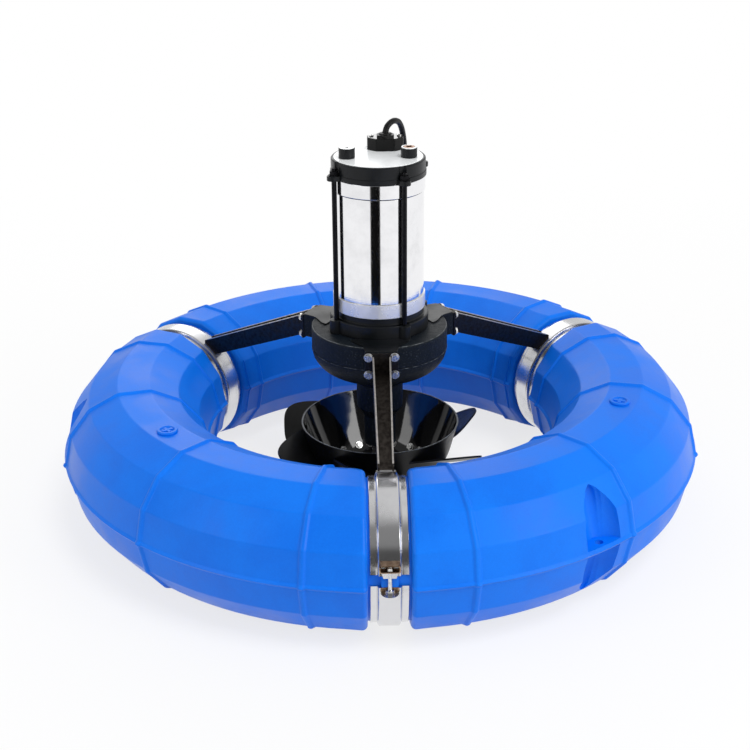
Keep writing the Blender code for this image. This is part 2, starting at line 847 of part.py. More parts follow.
# Motor
def rod_places():
    angles = [rod_phase + full_turn * i / rod_count for i in range(rod_count)]
    return [(rod_circle * math.cos(a), rod_circle * math.sin(a)) for a in angles]


def at_rods(mesh):
    return [shifted(mesh, x, y, 0) for x, y in rod_places()]


def motor_seat_mesh():
    bottom = gearbox_top + seat_gap
    profile = ((rotor_hole, seat_neck_top), (seat_neck_radius, seat_neck_top),
               (seat_neck_radius, seat_pad_top), (seat_pad_radius, seat_pad_top),
               (seat_pad_radius, bottom), (rotor_hole, bottom))
    lug = block((ear_pad_root, -ear_pad_half_width, bottom),
                (ear_pad_reach, ear_pad_half_width, seat_pad_top))
    hole = drum(rod_radius + turning_gap, rod_bottom - seat_gap, seat_pad_top + overrun, bolt_sides)
    seat = joined(lathe(profile, stack_sides), *around(lug, rod_count, rod_phase))
    return cut(seat, *at_rods(hole))


def lower_collar_mesh():
    bottom = lower_collar_bottom
    floor = bottom + shield_floor
    inner = barrel_radius - barrel_wall
    bearing_seat = rotor_bearing_outer + seat_gap
    bearing_floor = shield_boss_top - rotor_bearing_height - seat_gap
    profile = ((inner, lower_collar_top), (lower_collar_radius, lower_collar_top),
               (lower_collar_radius, bottom), (rotor_hole, bottom), (rotor_hole, bearing_floor),
               (bearing_seat, bearing_floor), (bearing_seat, shield_boss_top),
               (shield_boss_radius, shield_boss_top), (shield_boss_radius, floor), (inner, floor))
    return lathe(profile, stack_sides)


def cap_mesh():
    bottom = upper_collar_top + seat_gap
    bearing_seat = rotor_bearing_outer + seat_gap
    bearing_roof = cap_boss_bottom + rotor_bearing_height + seat_gap
    profile = ((0, cap_top), (cap_disc_radius, cap_top), (cap_body_radius, cap_shoulder),
               (cap_body_radius, cap_flange_top), (cap_flange_radius, cap_flange_top),
               (cap_flange_radius, bottom), (cap_cavity, bottom), (cap_cavity, cap_cavity_top),
               (cap_boss_radius, cap_cavity_top), (cap_boss_radius, cap_boss_bottom),
               (bearing_seat, cap_boss_bottom), (bearing_seat, bearing_roof),
               (rotor_hole, bearing_roof), (rotor_hole, cap_cavity_top), (0, cap_cavity_top))
    ear = block((ear_pad_root, -ear_pad_half_width, bottom),
                (ear_pad_reach, ear_pad_half_width, bottom + ear_pad_height))
    hole = drum(rod_radius + turning_gap, bottom - overrun, bottom + ear_pad_height + overrun,
                bolt_sides)
    pocket = drum(rod_nut_radius + nut_pocket_gap, bottom + ear_pad_height, cap_top + overrun,
                  bolt_sides)
    cap = joined(lathe(profile, stack_sides, closed=False), *around(ear, rod_count, rod_phase))
    return cut(cap, *at_rods(hole), *at_rods(pocket))


def build_motor():
    placed("motor_seat", motor_seat_mesh(), "cast_iron")
    placed("motor_lower_collar", lower_collar_mesh(), "polished_steel")
    barrel_inner = barrel_radius - barrel_wall
    barrel = tube(barrel_radius, barrel_inner, lower_collar_top + seat_gap, barrel_top, stack_sides)
    placed("motor_barrel", barrel, "polished_steel")
    collar = tube(upper_collar_radius, upper_collar_radius - upper_collar_wall,
                  barrel_top + seat_gap, upper_collar_top, stack_sides)
    placed("motor_upper_collar", collar, "polished_steel")
    placed("motor_cap", cap_mesh(), "black_enamel")
    stator = tube(core_radius, stator_bore, core_bottom, core_top, stack_sides)
    placed("stator_core", stator, "core_iron")
    for name, low in (("stator_winding_upper", core_top + seat_gap),
                      ("stator_winding_lower", core_bottom - seat_gap - winding_height)):
        winding = tube(winding_outer, winding_inner, low, low + winding_height, shaft_sides)
        placed(name, winding, "copper")
    shaft_bore = rotor_radius + turning_gap
    for name, bottom in (("rotor_bearing_upper", cap_boss_bottom),
                         ("rotor_bearing_lower", shield_boss_top - rotor_bearing_height)):
        mesh = tube(rotor_bearing_outer, shaft_bore, bottom, bottom + rotor_bearing_height,
                    stack_sides)
        placed(name, mesh, "gear_steel")
    nut_low = upper_collar_top + seat_gap + ear_pad_height + seat_gap
    nut = hexagon(rod_nut_radius, nut_low, nut_low + rod_nut_height)
    rod = joined(drum(rod_radius, rod_bottom, rod_top, bolt_sides), nut)
    for i, (x, y) in enumerate(rod_places()):
        placed(f"tie_rod_{i + 1}", rod, "polished_steel", location=(x, y, equator_height))


def build_cap_fittings():
    base = cap_top + seat_gap
    top = base + cap_plug_height
    profile = ((0, top - cap_plug_socket_depth), (cap_plug_socket_radius, top - cap_plug_socket_depth),
               (cap_plug_socket_radius, top), (cap_plug_radius, top), (cap_plug_radius, base), (0, base))
    for name, (x, y) in plug_places.items():
        colour_name = "brass" if name == "brass_plug" else "black_enamel"
        plug = shifted(lathe(profile, shaft_sides, closed=False), x, y, 0)
        placed(name, plug, colour_name)
    corner_shares = ((-1, 0.45), (-0.55, 1), (0.55, 1), (1, 0.45), (1, -0.35), (0.5, -1),
                     (-0.5, -1), (-1, -0.35))
    outline = [(box_centre[0] + a * box_half_length, box_centre[1] + b * box_half_depth)
               for a, b in corner_shares]
    placed("gland_box", prism(outline, base, base + box_height), "black_enamel")
    gland_low = base + box_height + seat_gap
    gland = hexagon(gland_radius, gland_low, gland_low + gland_height)
    bore = drum(cable_radius + turning_gap, gland_low - overrun, gland_low + gland_height + overrun,
                shaft_sides)
    placed("gland_nut", shifted(cut(gland, bore), gland_place[0], gland_place[1], 0), "black_plastic")


# Turning pieces
def build_rotor():
    shaft = drum(rotor_radius, rotor_bottom, rotor_top, shaft_sides)
    placed("rotor_shaft", shaft, "gear_steel")
    core = tube(rotor_core_radius, rotor_radius + seat_gap, core_bottom, core_top, shaft_sides)
    placed("rotor_core", core, "core_iron")
    sun_bore = rotor_radius + seat_gap
    placed("sun_gear", gear_mesh(sun_teeth, sun_bore, shaft_sides), "gear_steel")


def planet_place(index):
    angle = first_planet + full_turn * index / planet_count
    return centre_distance * math.cos(angle), centre_distance * math.sin(angle)


def build_carrier():
    plate = tube(carrier_radius, output_radius + seat_gap, carrier_bottom, carrier_top, shaft_sides)
    pin = drum(pin_radius, carrier_bottom + carrier_step, gear_bottom + gear_width, pin_sides)
    places = [planet_place(i) for i in range(planet_count)]
    plate = joined(plate, *[shifted(pin, x, y, 0) for x, y in places])
    placed("planet_carrier", plate, "gear_steel")
    planet = gear_mesh(planet_teeth, pin_radius + turning_gap, pin_sides)
    for i, (x, y) in enumerate(places):
        placed(f"planet_gear_{i + 1}", planet, "gear_steel", location=(x, y, equator_height),
               turn=planet_phase)
    shaft_profile = ((0, carrier_top), (output_radius, carrier_top), (output_radius, hub_seat),
                     (stud_radius, hub_seat), (stud_radius, stud_bottom), (0, stud_bottom))
    placed("output_shaft", lathe(shaft_profile, shaft_sides, closed=False), "gear_steel")


def bowl_mesh():
    outer = list(bowl_rim + bowl_curve + bowl_floor)
    inner = [(radius - bowl_wall, height) for radius, height in bowl_rim]
    inner += [(radius - bowl_wall, height + bowl_wall) for radius, height in bowl_curve]
    hub = [(hub_radius, hub_bottom + bowl_wall), (hub_radius, hub_top),
           (output_radius + seat_gap, hub_top), (output_radius + seat_gap, hub_seat - seat_gap),
           (stud_radius + turning_gap, hub_seat - seat_gap), (stud_radius + turning_gap, hub_bottom)]
    return lathe(outer + hub[::-1] + inner[::-1], stack_sides)


def blade_mesh():
    """One paddle outside the bowl, swept and tilted, and trimmed to the bowl's wall."""
    outline = []
    for i in range(blade_points):
        angle = full_turn * i / blade_points
        across = math.copysign(abs(math.cos(angle)) ** (2 / blade_squareness), math.cos(angle))
        along = math.copysign(abs(math.sin(angle)) ** (2 / blade_squareness), math.sin(angle))
        outline.append((blade_reach * across, blade_half_chord * along))
    plate = prism(outline, -blade_thickness / 2, blade_thickness / 2)
    stand = (Matrix.Translation((blade_middle, 0, blade_height))
             @ Matrix.Rotation(blade_sweep, 4, "Z") @ Matrix.Rotation(-blade_rise, 4, "Y")
             @ Matrix.Rotation(blade_tilt + math.pi / 2, 4, "X"))
    rim_radius, rim_height = bowl_rim[0]
    clear = [(0, rim_height + blade_half_chord), (rim_radius + seat_gap, rim_height + blade_half_chord)]
    clear += [(radius + seat_gap, height - seat_gap)
              for radius, height in bowl_rim + bowl_curve + bowl_floor]
    clear += [(0, hub_bottom - seat_gap)]
    return cut(moved(plate, stand), lathe(clear, trim_sides, closed=False))


def build_impeller():
    placed("impeller_bowl", bowl_mesh(), "black_enamel")
    blade = blade_mesh()
    for i in range(blade_count):
        turn = blade_phase + full_turn * i / blade_count
        placed(f"impeller_blade_{i + 1}", blade, "black_enamel", turn=turn)
    nut_top = hub_bottom - seat_gap
    nut = hexagon(impeller_nut_radius, nut_top - impeller_nut_height, nut_top)
    hole = drum(stud_radius + turning_gap, nut_top - impeller_nut_height - overrun, nut_top + overrun,
                shaft_sides)
    placed("impeller_nut", cut(nut, hole), "zinc")


# Supply cable
def curve_tube(points, radius, resolution):
    curve = bpy.data.curves.new("line", "CURVE")
    curve.dimensions = "3D"
    curve.bevel_depth = radius
    curve.bevel_resolution = resolution
    curve.use_fill_caps = True
    line = curve.splines.new("POLY")
    line.points.add(len(points) - 1)
    for point, place in zip(line.points, points):
        point.co = (*place, 1)
    return curve


def smooth_route(route, per_leg):
    """Points of a smooth curve through the route."""
    points = [Vector(p) for p in route]
    ends = [2 * points[0] - points[1]] + points + [2 * points[-1] - points[-2]]
    result = []
    for i in range(1, len(ends) - 2):
        a, b, c, d = ends[i - 1:i + 3]
        for step in range(per_leg):
            t = step / per_leg
            result.append(0.5 * (2 * b + (c - a) * t + (2 * a - 5 * b + 4 * c - d) * t ** 2
                                 + (3 * b - a - 3 * c + d) * t ** 3))
    return result + [points[-1]]


def build_cable():
    curve = curve_tube(smooth_route(cable_route, cable_points_per_leg), cable_radius, cable_roundness)
    placed_curve("cable", curve)
    half = cable_radius * cable_layers
    coil = tube(cable_turn_radius + half, cable_turn_radius - half, seat_gap, seat_gap + 2 * half,
                small_sides)
    placed("cable_coil", coil, "black_rubber", location=(*coil_centre, 0))
    tail_start = coil_centre[1] + cable_turn_radius + half + seat_gap + cable_radius
    spread = math.sqrt(2) * (core_wire_radius + turning_gap)
    wires = [shifted(drum(core_wire_radius, tail_length - core_wire_length / 2,
                          tail_length + core_wire_length, bolt_sides),
                     spread * math.cos(angle), spread * math.sin(angle), 0)
             for angle in [full_turn * (i + 0.5) / core_wire_count for i in range(core_wire_count)]]
    tail = joined(drum(cable_radius, 0, tail_length, bolt_sides), *wires)
    tail = moved(tail, Matrix.Rotation(math.pi / 2, 4, "Y"))
    placed("cable_tail", tail, "black_rubber",
           location=(coil_centre[0], tail_start, cable_radius + seat_gap))


def placed_curve(name, curve):
    piece = bpy.data.objects.new(name, curve)
    parts.objects.link(piece)
    curve.materials.append(make_material(name, "black_rubber"))


build_floats()
build_clamps()
build_arms()
build_gearbox()
build_motor()
build_cap_fittings()
build_rotor()
build_carrier()
build_impeller()
build_cable()
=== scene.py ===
# Floating surface aerator: fine meshes, finishes, cable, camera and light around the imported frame
import math

import bmesh
import bpy
from mathutils import Matrix, Vector


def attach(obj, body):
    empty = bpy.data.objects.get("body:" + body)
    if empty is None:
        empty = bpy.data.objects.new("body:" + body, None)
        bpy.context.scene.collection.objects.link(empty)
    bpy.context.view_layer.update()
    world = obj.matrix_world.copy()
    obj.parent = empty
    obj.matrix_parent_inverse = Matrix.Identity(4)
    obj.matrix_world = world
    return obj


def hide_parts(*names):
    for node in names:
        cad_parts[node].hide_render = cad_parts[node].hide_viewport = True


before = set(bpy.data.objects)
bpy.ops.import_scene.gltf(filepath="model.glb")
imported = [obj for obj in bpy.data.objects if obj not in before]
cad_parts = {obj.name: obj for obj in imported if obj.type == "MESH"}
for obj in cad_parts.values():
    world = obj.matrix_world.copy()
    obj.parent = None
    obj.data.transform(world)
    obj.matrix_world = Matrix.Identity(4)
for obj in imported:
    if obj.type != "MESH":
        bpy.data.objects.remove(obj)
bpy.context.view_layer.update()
fullTurn = 2 * math.pi
quarterTurn = math.pi / 2
floatRadius, ribHeight, floatSides = 0.1449, 0.0045, 14
equator = (floatRadius + ribHeight) * math.cos(math.pi / floatSides)  # the float's equator above the ground
joints = [math.radians(-90 + 120 * i) for i in range(3)]  # azimuths of the three float joints
print("frame loaded")


# Shader wires that can be added and multiplied, and the bench that makes nodes
class Wire:
    def __init__(self, bench, socket):
        self.bench = bench
        self.socket = socket

    def maths(self, operation, *values):
        return self.bench.node("ShaderNodeMath", {"operation": operation}, dict(enumerate(values)))

    def __add__(self, other):
        return self.maths("ADD", self, other)

    def __radd__(self, other):
        return self.maths("ADD", other, self)

    def __sub__(self, other):
        return self.maths("SUBTRACT", self, other)

    def __rsub__(self, other):
        return self.maths("SUBTRACT", other, self)

    def __mul__(self, other):
        return self.maths("MULTIPLY", self, other)

    def __rmul__(self, other):
        return self.maths("MULTIPLY", other, self)

    def part(self, low, high):
        return self.bench.node("ShaderNodeMapRange", {"interpolation_type": "SMOOTHSTEP"},
                               {"Value": self, "From Min": low, "From Max": high})

    def axis(self, name):
        return self.bench.node("ShaderNodeSeparateXYZ", None, {0: self}, output=name)


class Bench:
    def __init__(self, name, owner=None, shader="Principled BSDF", **constants):
        self.material = owner or bpy.data.materials.new(name)
        self.material.use_nodes = True
        self.tree = self.material.node_tree
        self.shader = self.tree.nodes[shader]
        self.surface = Wire(self, self.shader.outputs[0])
        for key, value in constants.items():
            self.shader.inputs[key.replace("_", " ")].default_value = value

    def node(self, kind, settings=None, inputs=None, output=0):
        made = self.tree.nodes.new(kind)
        for name, value in (settings or {}).items():
            if name == "stops":
                self.setStops(made.color_ramp, value)
            else:
                setattr(made, name, value)
        for name, value in (inputs or {}).items():
            if isinstance(value, Wire):
                self.tree.links.new(value.socket, made.inputs[name])
            else:
                made.inputs[name].default_value = value
        return Wire(self, made.outputs[output])

    def setStops(self, ramp, stops):
        ramp.interpolation = "EASE"
        while len(ramp.elements) < len(stops):
            ramp.elements.new(0.5)
        for stop, (place, value) in zip(ramp.elements, stops):
            stop.position = place
            stop.color = (value, value, value, 1)

    def place(self):
        return self.node("ShaderNodeTexCoord", output="Object")

    def stretched(self, scale):
        return self.node("ShaderNodeVectorMath", {"operation": "MULTIPLY"}, {0: self.place(), 1: scale})

    def noise(self, scale, detail=3.0, roughness=0.5, where=None):
        return self.node("ShaderNodeTexNoise", None, {"Vector": where or self.place(), "Scale": scale,
                                                      "Detail": detail, "Roughness": roughness})

    def shade(self, factor, colourA, colourB):
        return self.node("ShaderNodeMix", {"data_type": "RGBA"},
                         {0: factor, 6: colourA, 7: colourB}, output=2)

    def feed(self, socket, wire):
        self.tree.links.new(wire.socket, self.shader.inputs[socket])

    def relief(self, height, distance, strength):
        self.feed("Normal", self.node("ShaderNodeBump", None,
                                      {"Strength": strength, "Distance": distance, "Height": height}))

    def close(self, wire, outlet="Material Output"):
        self.tree.links.new(wire.socket, self.tree.nodes[outlet].inputs[0])
        return self.material


def grey(value):
    return (value, value, value * 1.02, 1)


def darker(tint, share=0.7):
    return tuple(c * share for c in tint[:3]) + (1,)


def placed(name, data):
    made = bpy.data.objects.new(name, data)
    bpy.context.scene.collection.objects.link(made)
    return made


def slide(x, y, z):
    return Matrix.Translation((x, y, z))


def spin(angle, axis="Z"):
    return Matrix.Rotation(angle, 4, axis)


# Camera, at the photograph's angle
cameraLook = {"lens": 69.07, "distance": 2.990, "pitch": 23.196, "azimuth": -91.35, "roll": -0.39,
              "targetHeight": 0.26645, "shift": -0.00624}


def addCamera(look):
    pitch, azimuth = math.radians(look["pitch"]), math.radians(look["azimuth"])
    flat = look["distance"] * math.cos(pitch)
    camera = placed("photoCamera", bpy.data.cameras.new("photoCamera"))
    camera.location = (flat * math.cos(azimuth), flat * math.sin(azimuth),
                       look["targetHeight"] + look["distance"] * math.sin(pitch))
    away = Vector((0, 0, look["targetHeight"])) - camera.location
    aim = away.to_track_quat("-Z", "Y").to_matrix().to_4x4()
    camera.rotation_euler = (aim @ spin(math.radians(look["roll"]))).to_euler()
    camera.data.lens = look["lens"]
    camera.data.shift_x = look["shift"]
    bpy.context.scene.camera = camera


addCamera(cameraLook)
print("camera placed")


# Finishes
floatPaint = {"deep": (0.0004, 0.130, 0.700, 1), "light": (0.0010, 0.205, 0.900, 1), "cloud": (9, 5, 0.6),
              "cloudEdge": (0.35, 0.65), "speck": (260, 3, 0.7), "dimple": (60, 2), "cloudShare": 0.3,
              "speckShare": 0.5, "rough": 0.30, "roughCloud": 0.14, "roughSpeck": 0.06, "speckRise": 0.7,
              "dimpleRise": 0.6, "depth": 0.0006, "strength": 0.35}
steelPaint = {"smudge": (14, 5, 0.65), "smudgeEdge": (0.4, 0.7), "fine": (1.0, 4, 0.6), "smudgeShare": 0.6,
              "smudgeTint": 0.82, "roughFine": 0.05, "depth": 0.00012, "strength": 0.25}
castPaint = {"grain": (330, 4, 0.65), "lump": (70, 3, 0.55), "fleckEdge": (0.58, 0.68), "fleckShare": 0.7,
             "dark": (0.003, 0.006, 0.010, 1), "fleck": (0.070, 0.080, 0.090, 1), "rough": 0.42,
             "roughLump": 0.22, "grainRise": 0.8, "lumpRise": 1.2, "depth": 0.0016, "strength": 0.6}


def floatFinish(look):
    bench = Bench("floatBlue", Roughness=0.36, Specular_IOR_Level=0.22)
    cloud = bench.noise(*look["cloud"]).part(*look["cloudEdge"])
    speck = bench.noise(*look["speck"])
    bench.feed("Base Color", bench.shade(cloud * look["cloudShare"] + speck * look["speckShare"],
                                         look["deep"], look["light"]))
    bench.feed("Roughness", look["rough"] + look["roughCloud"] * cloud + look["roughSpeck"] * speck)
    bench.relief(speck * look["speckRise"] + bench.noise(*look["dimple"]) * look["dimpleRise"],
                 look["depth"], look["strength"])
    return bench.material


def steelFinish(name, tint, smooth, streak, wear, metal=1.0):
    look = steelPaint
    bench = Bench(name, Metallic=metal, Roughness=smooth)
    fine = bench.noise(*look["fine"], bench.stretched(streak))
    smudge = bench.noise(*look["smudge"]).part(*look["smudgeEdge"])
    bench.feed("Base Color", bench.shade(smudge * look["smudgeShare"],
                                         grey(tint), grey(tint * look["smudgeTint"])))
    bench.feed("Roughness", smooth + wear * smudge + look["roughFine"] * fine)
    bench.relief(fine, look["depth"], look["strength"])
    return bench.material


def castFinish(look):
    bench = Bench("blackCastIron", Roughness=0.5, Specular_IOR_Level=0.22)
    grain = bench.noise(*look["grain"])
    lump = bench.noise(*look["lump"])
    fleck = grain.part(*look["fleckEdge"])
    bench.feed("Base Color", bench.shade(fleck * look["fleckShare"], look["dark"], look["fleck"]))
    bench.feed("Roughness", look["rough"] + look["roughLump"] * lump)
    bench.relief(grain * look["grainRise"] + lump * look["lumpRise"], look["depth"], look["strength"])
    return bench.material


def patchyFinish(name, tints, mask, edge, rough, relief, share=1, grain=None, **constants):
    # one mask mixes two tints and roughens the surface; the relief is the mask or a grain of its own
    bench = Bench(name, **constants)
    patch = bench.noise(*mask).part(*edge)
    bench.feed("Base Color", bench.shade(patch * share, *tints))
    bench.feed("Roughness", rough[0] + rough[1] * patch)
    bench.relief(bench.noise(*grain) if grain else patch, *relief)
    return bench.material


def metalFinish(name, tint, smooth, rust=None):
    return patchyFinish(name, (tint, rust or darker(tint)), (130, 4, 0.6), (0.35, 0.7), (smooth, 0.2),
                        (0.00015, 0.4), share=0.7, Metallic=1.0)


def rubberFinish(name, low, high, smooth):
    return patchyFinish(name, (grey(low), grey(high)), (90, 4, 0.6), (0.45, 0.75), (smooth, 0.15),
                        (0.0001, 0.4), grain=(600, 2), Specular_IOR_Level=0.25)


def layeredFinish(name, tint, gap, step, smooth):
    bench = Bench(name, Metallic=0.8, Roughness=smooth)
    wave = bench.place().axis("Z") * (fullTurn / step)
    line = wave.maths("SINE", wave) * 0.5 + 0.5
    bench.feed("Base Color", bench.shade(line, gap, tint))
    bench.relief(line, 0.0004, 0.6)
    return bench.material


finishes = {
    "blue": floatFinish(floatPaint),
    "band": steelFinish("bandSteel", 0.70, 0.16, (30, 30, 30), 0.16),
    "arm": metalFinish("armSteel", (0.060, 0.052, 0.046, 1), 0.30, (0.022, 0.018, 0.016, 1)),
    # a pale tint for the strips on the channel walls' top edges
    "paleTop": metalFinish("paleTopEdge", (0.56, 0.53, 0.50, 1), 0.30),
    "lug": metalFinish("stainedLug", (0.40, 0.28, 0.19, 1), 0.25, (0.12, 0.06, 0.04, 1)),
    "barrel": steelFinish("barrelSteel", 0.88, 0.05, (3, 3, 300), 0.03),
    "collar": steelFinish("collarSteel", 0.80, 0.24, (3, 3, 300), 0.10, 0.5),
    "iron": castFinish(castPaint),
    # dark with lighter patches; on the bowl's rim this is a painted highlight
    "paleStrip": patchyFinish("paleStripEdge", ((0.016, 0.020, 0.024, 1), (0.150, 0.165, 0.175, 1)), (90, 4, 0.7),
                            (0.42, 0.62), (0.40, 0.2), (0.0003, 0.5), Metallic=0.3),
    "paint": patchyFinish("satinBlackPaint", ((0.004, 0.005, 0.006, 1), (0.009, 0.010, 0.012, 1)), (18, 3),
                          (0.35, 0.7), (0.28, 0.16), (0.0004, 0.5), grain=(160, 4, 0.6),
                          Specular_IOR_Level=0.25),
    "enamel": patchyFinish("blackEnamel", ((0.004, 0.004, 0.005, 1), (0.020, 0.021, 0.023, 1)), (500, 2),
                           (0.62, 0.75), (0.07, 0.08), (0.00035, 0.6), share=0.5, grain=(22, 3),
                           Coat_Weight=0.6, Coat_Roughness=0.04),
    "blade": rubberFinish("satinBlade", 0.0025, 0.0050, 0.36),
    # near-white and barely metallic, for the cap's top and the plug tops
    "nearWhite": patchyFinish("nearWhiteTop", ((0.92, 0.94, 0.95, 1), (0.72, 0.76, 0.78, 1)), (230, 3, 0.6),
                             (0.55, 0.75), (0.30, 0.15), (0.0002, 0.3), share=0.5, Metallic=0.1),
    "zinc": metalFinish("brightFastener", (0.80, 0.80, 0.79, 1), 0.22),
    "brass": metalFinish("agedBrass", (0.42, 0.22, 0.12, 1), 0.28, (0.16, 0.08, 0.05, 1)),
    "rod": metalFinish("blackenedRod", (0.018, 0.018, 0.020, 1), 0.30),
    "rubber": rubberFinish("cableRubber", 0.006, 0.014, 0.38),
    "nylon": rubberFinish("glandNylon", 0.008, 0.020, 0.30),
    "gear": metalFinish("groundSteel", (0.55, 0.55, 0.57, 1), 0.28),
    "core": layeredFinish("coreLaminations", (0.30, 0.30, 0.32, 1), (0.08, 0.08, 0.09, 1), 0.0025, 0.45),
    "copper": layeredFinish("copperWindings", (0.70, 0.30, 0.12, 1), (0.30, 0.10, 0.04, 1), 0.0018, 0.35),
}
print("finishes mixed")


# Mesh tools
def piece(name, mesh, finish, stands=(), body="frame", angle=35):
    made = placed(name, mesh)
    mesh.materials.clear()
    mesh.materials.append(finishes[finish])
    mesh.shade_smooth()
    mesh.set_sharp_from_angle(angle=math.radians(angle))
    broad = made.modifiers.new("broadFaces", "WEIGHTED_NORMAL")
    broad.keep_sharp = True
    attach(made, body)
    if stands:
        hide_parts(*stands)
    return made


def meshFrom(work, merge=0.00002):
    if merge:
        bmesh.ops.remove_doubles(work, verts=work.verts, dist=merge)
    bmesh.ops.recalc_face_normals(work, faces=work.faces)
    mesh = bpy.data.meshes.new("mesh")
    work.to_mesh(mesh)
    work.free()
    return mesh


def joinMeshes(meshes):
    work = bmesh.new()
    for mesh in meshes:
        work.from_mesh(mesh)
    return meshFrom(work, None)


def movedMesh(mesh, matrix):
    copy = mesh.copy()
    copy.transform(matrix)
    return copy


def shifted(mesh, x, y, z):
    return movedMesh(mesh, slide(x, y, z))


def turned(mesh, angle):
    return movedMesh(mesh, spin(angle))


def rounded(points, radius, steps=3, closed=False):
    # every corner of a flat outline becomes a short arc that fits between its neighbours
    result = []
    last = len(points) - 1
    for i, corner in enumerate(points):
        here = Vector(corner)
        if not closed and i in (0, last):
            result.append(here)
            continue
        before = Vector(points[i - 1]) - here
        after = Vector(points[(i + 1) % len(points)]) - here
        reach = min(radius, 0.45 * before.length, 0.45 * after.length)
        start = here + before.normalized() * reach
        end = here + after.normalized() * reach
        for step in range(steps + 1):
            t = step / steps
            result.append(start * (1 - t) ** 2 + here * (2 * t * (1 - t)) + end * t ** 2)
    return result


def loft(rings):
    # rings of points joined into a closed solid with flat ends
    work = bmesh.new()
    rows = [[work.verts.new(point) for point in ring] for ring in rings]
    count = len(rows[0])
    for near, far in zip(rows, rows[1:]):
        for i in range(count):
            j = (i + 1) % count
            work.faces.new((near[i], near[j], far[j], far[i]))
    work.faces.new(rows[0])
    work.faces.new(rows[-1])
    return meshFrom(work)


def prism(outline, low, high, edge=0.0):
    # both ends before the sides, because the bevel follows the order of the faces
    work = bmesh.new()
    bottom, top = [[work.verts.new((x, y, level)) for x, y in outline] for level in (low, high)]
    work.faces.new(bottom)
    work.faces.new(top)
    for i in range(len(outline)):
        j = (i + 1) % len(outline)
        work.faces.new((bottom[i], bottom[j], top[j], top[i]))
    if edge:
        rims = [e for e in work.edges if abs(e.verts[0].co.z - e.verts[1].co.z) < 1e-7]
        bmesh.ops.bevel(work, geom=rims, offset=edge, segments=2, affect="EDGES", profile=0.6)
    return meshFrom(work)


def lathe(profile, sides=96, closed=True, start=0.0, sweep=fullTurn, rise=equator):
    # a profile of (radius, height) turned about Z; an open sweep gets end faces
    work = bmesh.new()
    whole = abs(sweep - fullTurn) < 1e-6
    columns = sides if whole else sides + 1
    rows = []
    for k in range(columns):
        angle = start + sweep * k / sides
        cosine, sine = math.cos(angle), math.sin(angle)
        rows.append([work.verts.new((r * cosine, r * sine, h + rise)) for r, h in profile])
    count = len(profile)
    for k in range(sides):
        near, far = rows[k], rows[(k + 1) % columns]
        for i in range(count if closed else count - 1):
            j = (i + 1) % count
            work.faces.new((near[i], near[j], far[j], far[i]))
    if not whole:
        work.faces.new(rows[0])
        work.faces.new(list(reversed(rows[-1])))
    bmesh.ops.remove_doubles(work, verts=work.verts, dist=0.00001)
    bmesh.ops.dissolve_degenerate(work, dist=0.000001, edges=work.edges)
    return meshFrom(work)


def ringOf(profile, edge, sides=128, steps=3, **where):
    return lathe(rounded(profile, edge, steps, True), sides, **where)


def solidOf(profile, edge, sides=64, steps=3, **where):
    return lathe(rounded(profile, edge, steps), sides, False, **where)


def drum(radius, low, high, sides=32, rise=0.0):
    return lathe([(0, high), (radius, high), (radius, low), (0, low)], sides, False, rise=rise)


def softBox(low, high, edge=0.001, segments=2):
    work = bmesh.new()
    bmesh.ops.create_cube(work, size=1)
    for vert in work.verts:
        vert.co = Vector([low[i] if vert.co[i] < 0 else high[i] for i in range(3)])
    bmesh.ops.bevel(work, geom=work.edges[:], offset=edge, segments=segments, affect="EDGES", profile=0.5)
    return meshFrom(work)


nutShares = (0.86, 1.02)  # the chamfer cone's radius at its top and foot, by the nut's corner radius


def hexPrism(radius, low, high, phase=0.0):
    angles = [fullTurn * (i + phase) / 6 for i in range(6)]
    return prism([(radius * math.cos(a), radius * math.sin(a)) for a in angles], low, high)


def hexNut(radius, low, high, chamfer=0.0012):
    flat, wide = radius * nutShares[0], radius * nutShares[1]
    cone = [(0, high), (flat, high), (wide, high - chamfer), (wide, low), (0, low)]
    return carve(hexPrism(radius, low, high, 0.5), [lathe(cone, 48, False, rise=0)], "INTERSECT")


def carve(base, tools, operation="DIFFERENCE"):
    target = placed("base", base)
    helpers = []
    for tool in tools:
        helper = placed("tool", tool)
        change = target.modifiers.new("carve", "BOOLEAN")
        change.operation = operation
        change.solver = "EXACT"
        change.object = helper
        helpers.append(helper)
    bpy.context.view_layer.update()
    graph = bpy.context.evaluated_depsgraph_get()
    mesh = bpy.data.meshes.new_from_object(target.evaluated_get(graph), depsgraph=graph)
    for helper in helpers + [target]:
        bpy.data.objects.remove(helper, do_unlink=True)
    return mesh


def jointFrame(angle):
    # X outwards, Y up, Z along the ring, centred in the float's section at one joint
    return spin(angle) @ slide(floatLook["ring"], 0, equator) @ spin(quarterTurn, "X")


def atAngle(angle, reach, height):
    return spin(angle) @ slide(reach, 0, height)


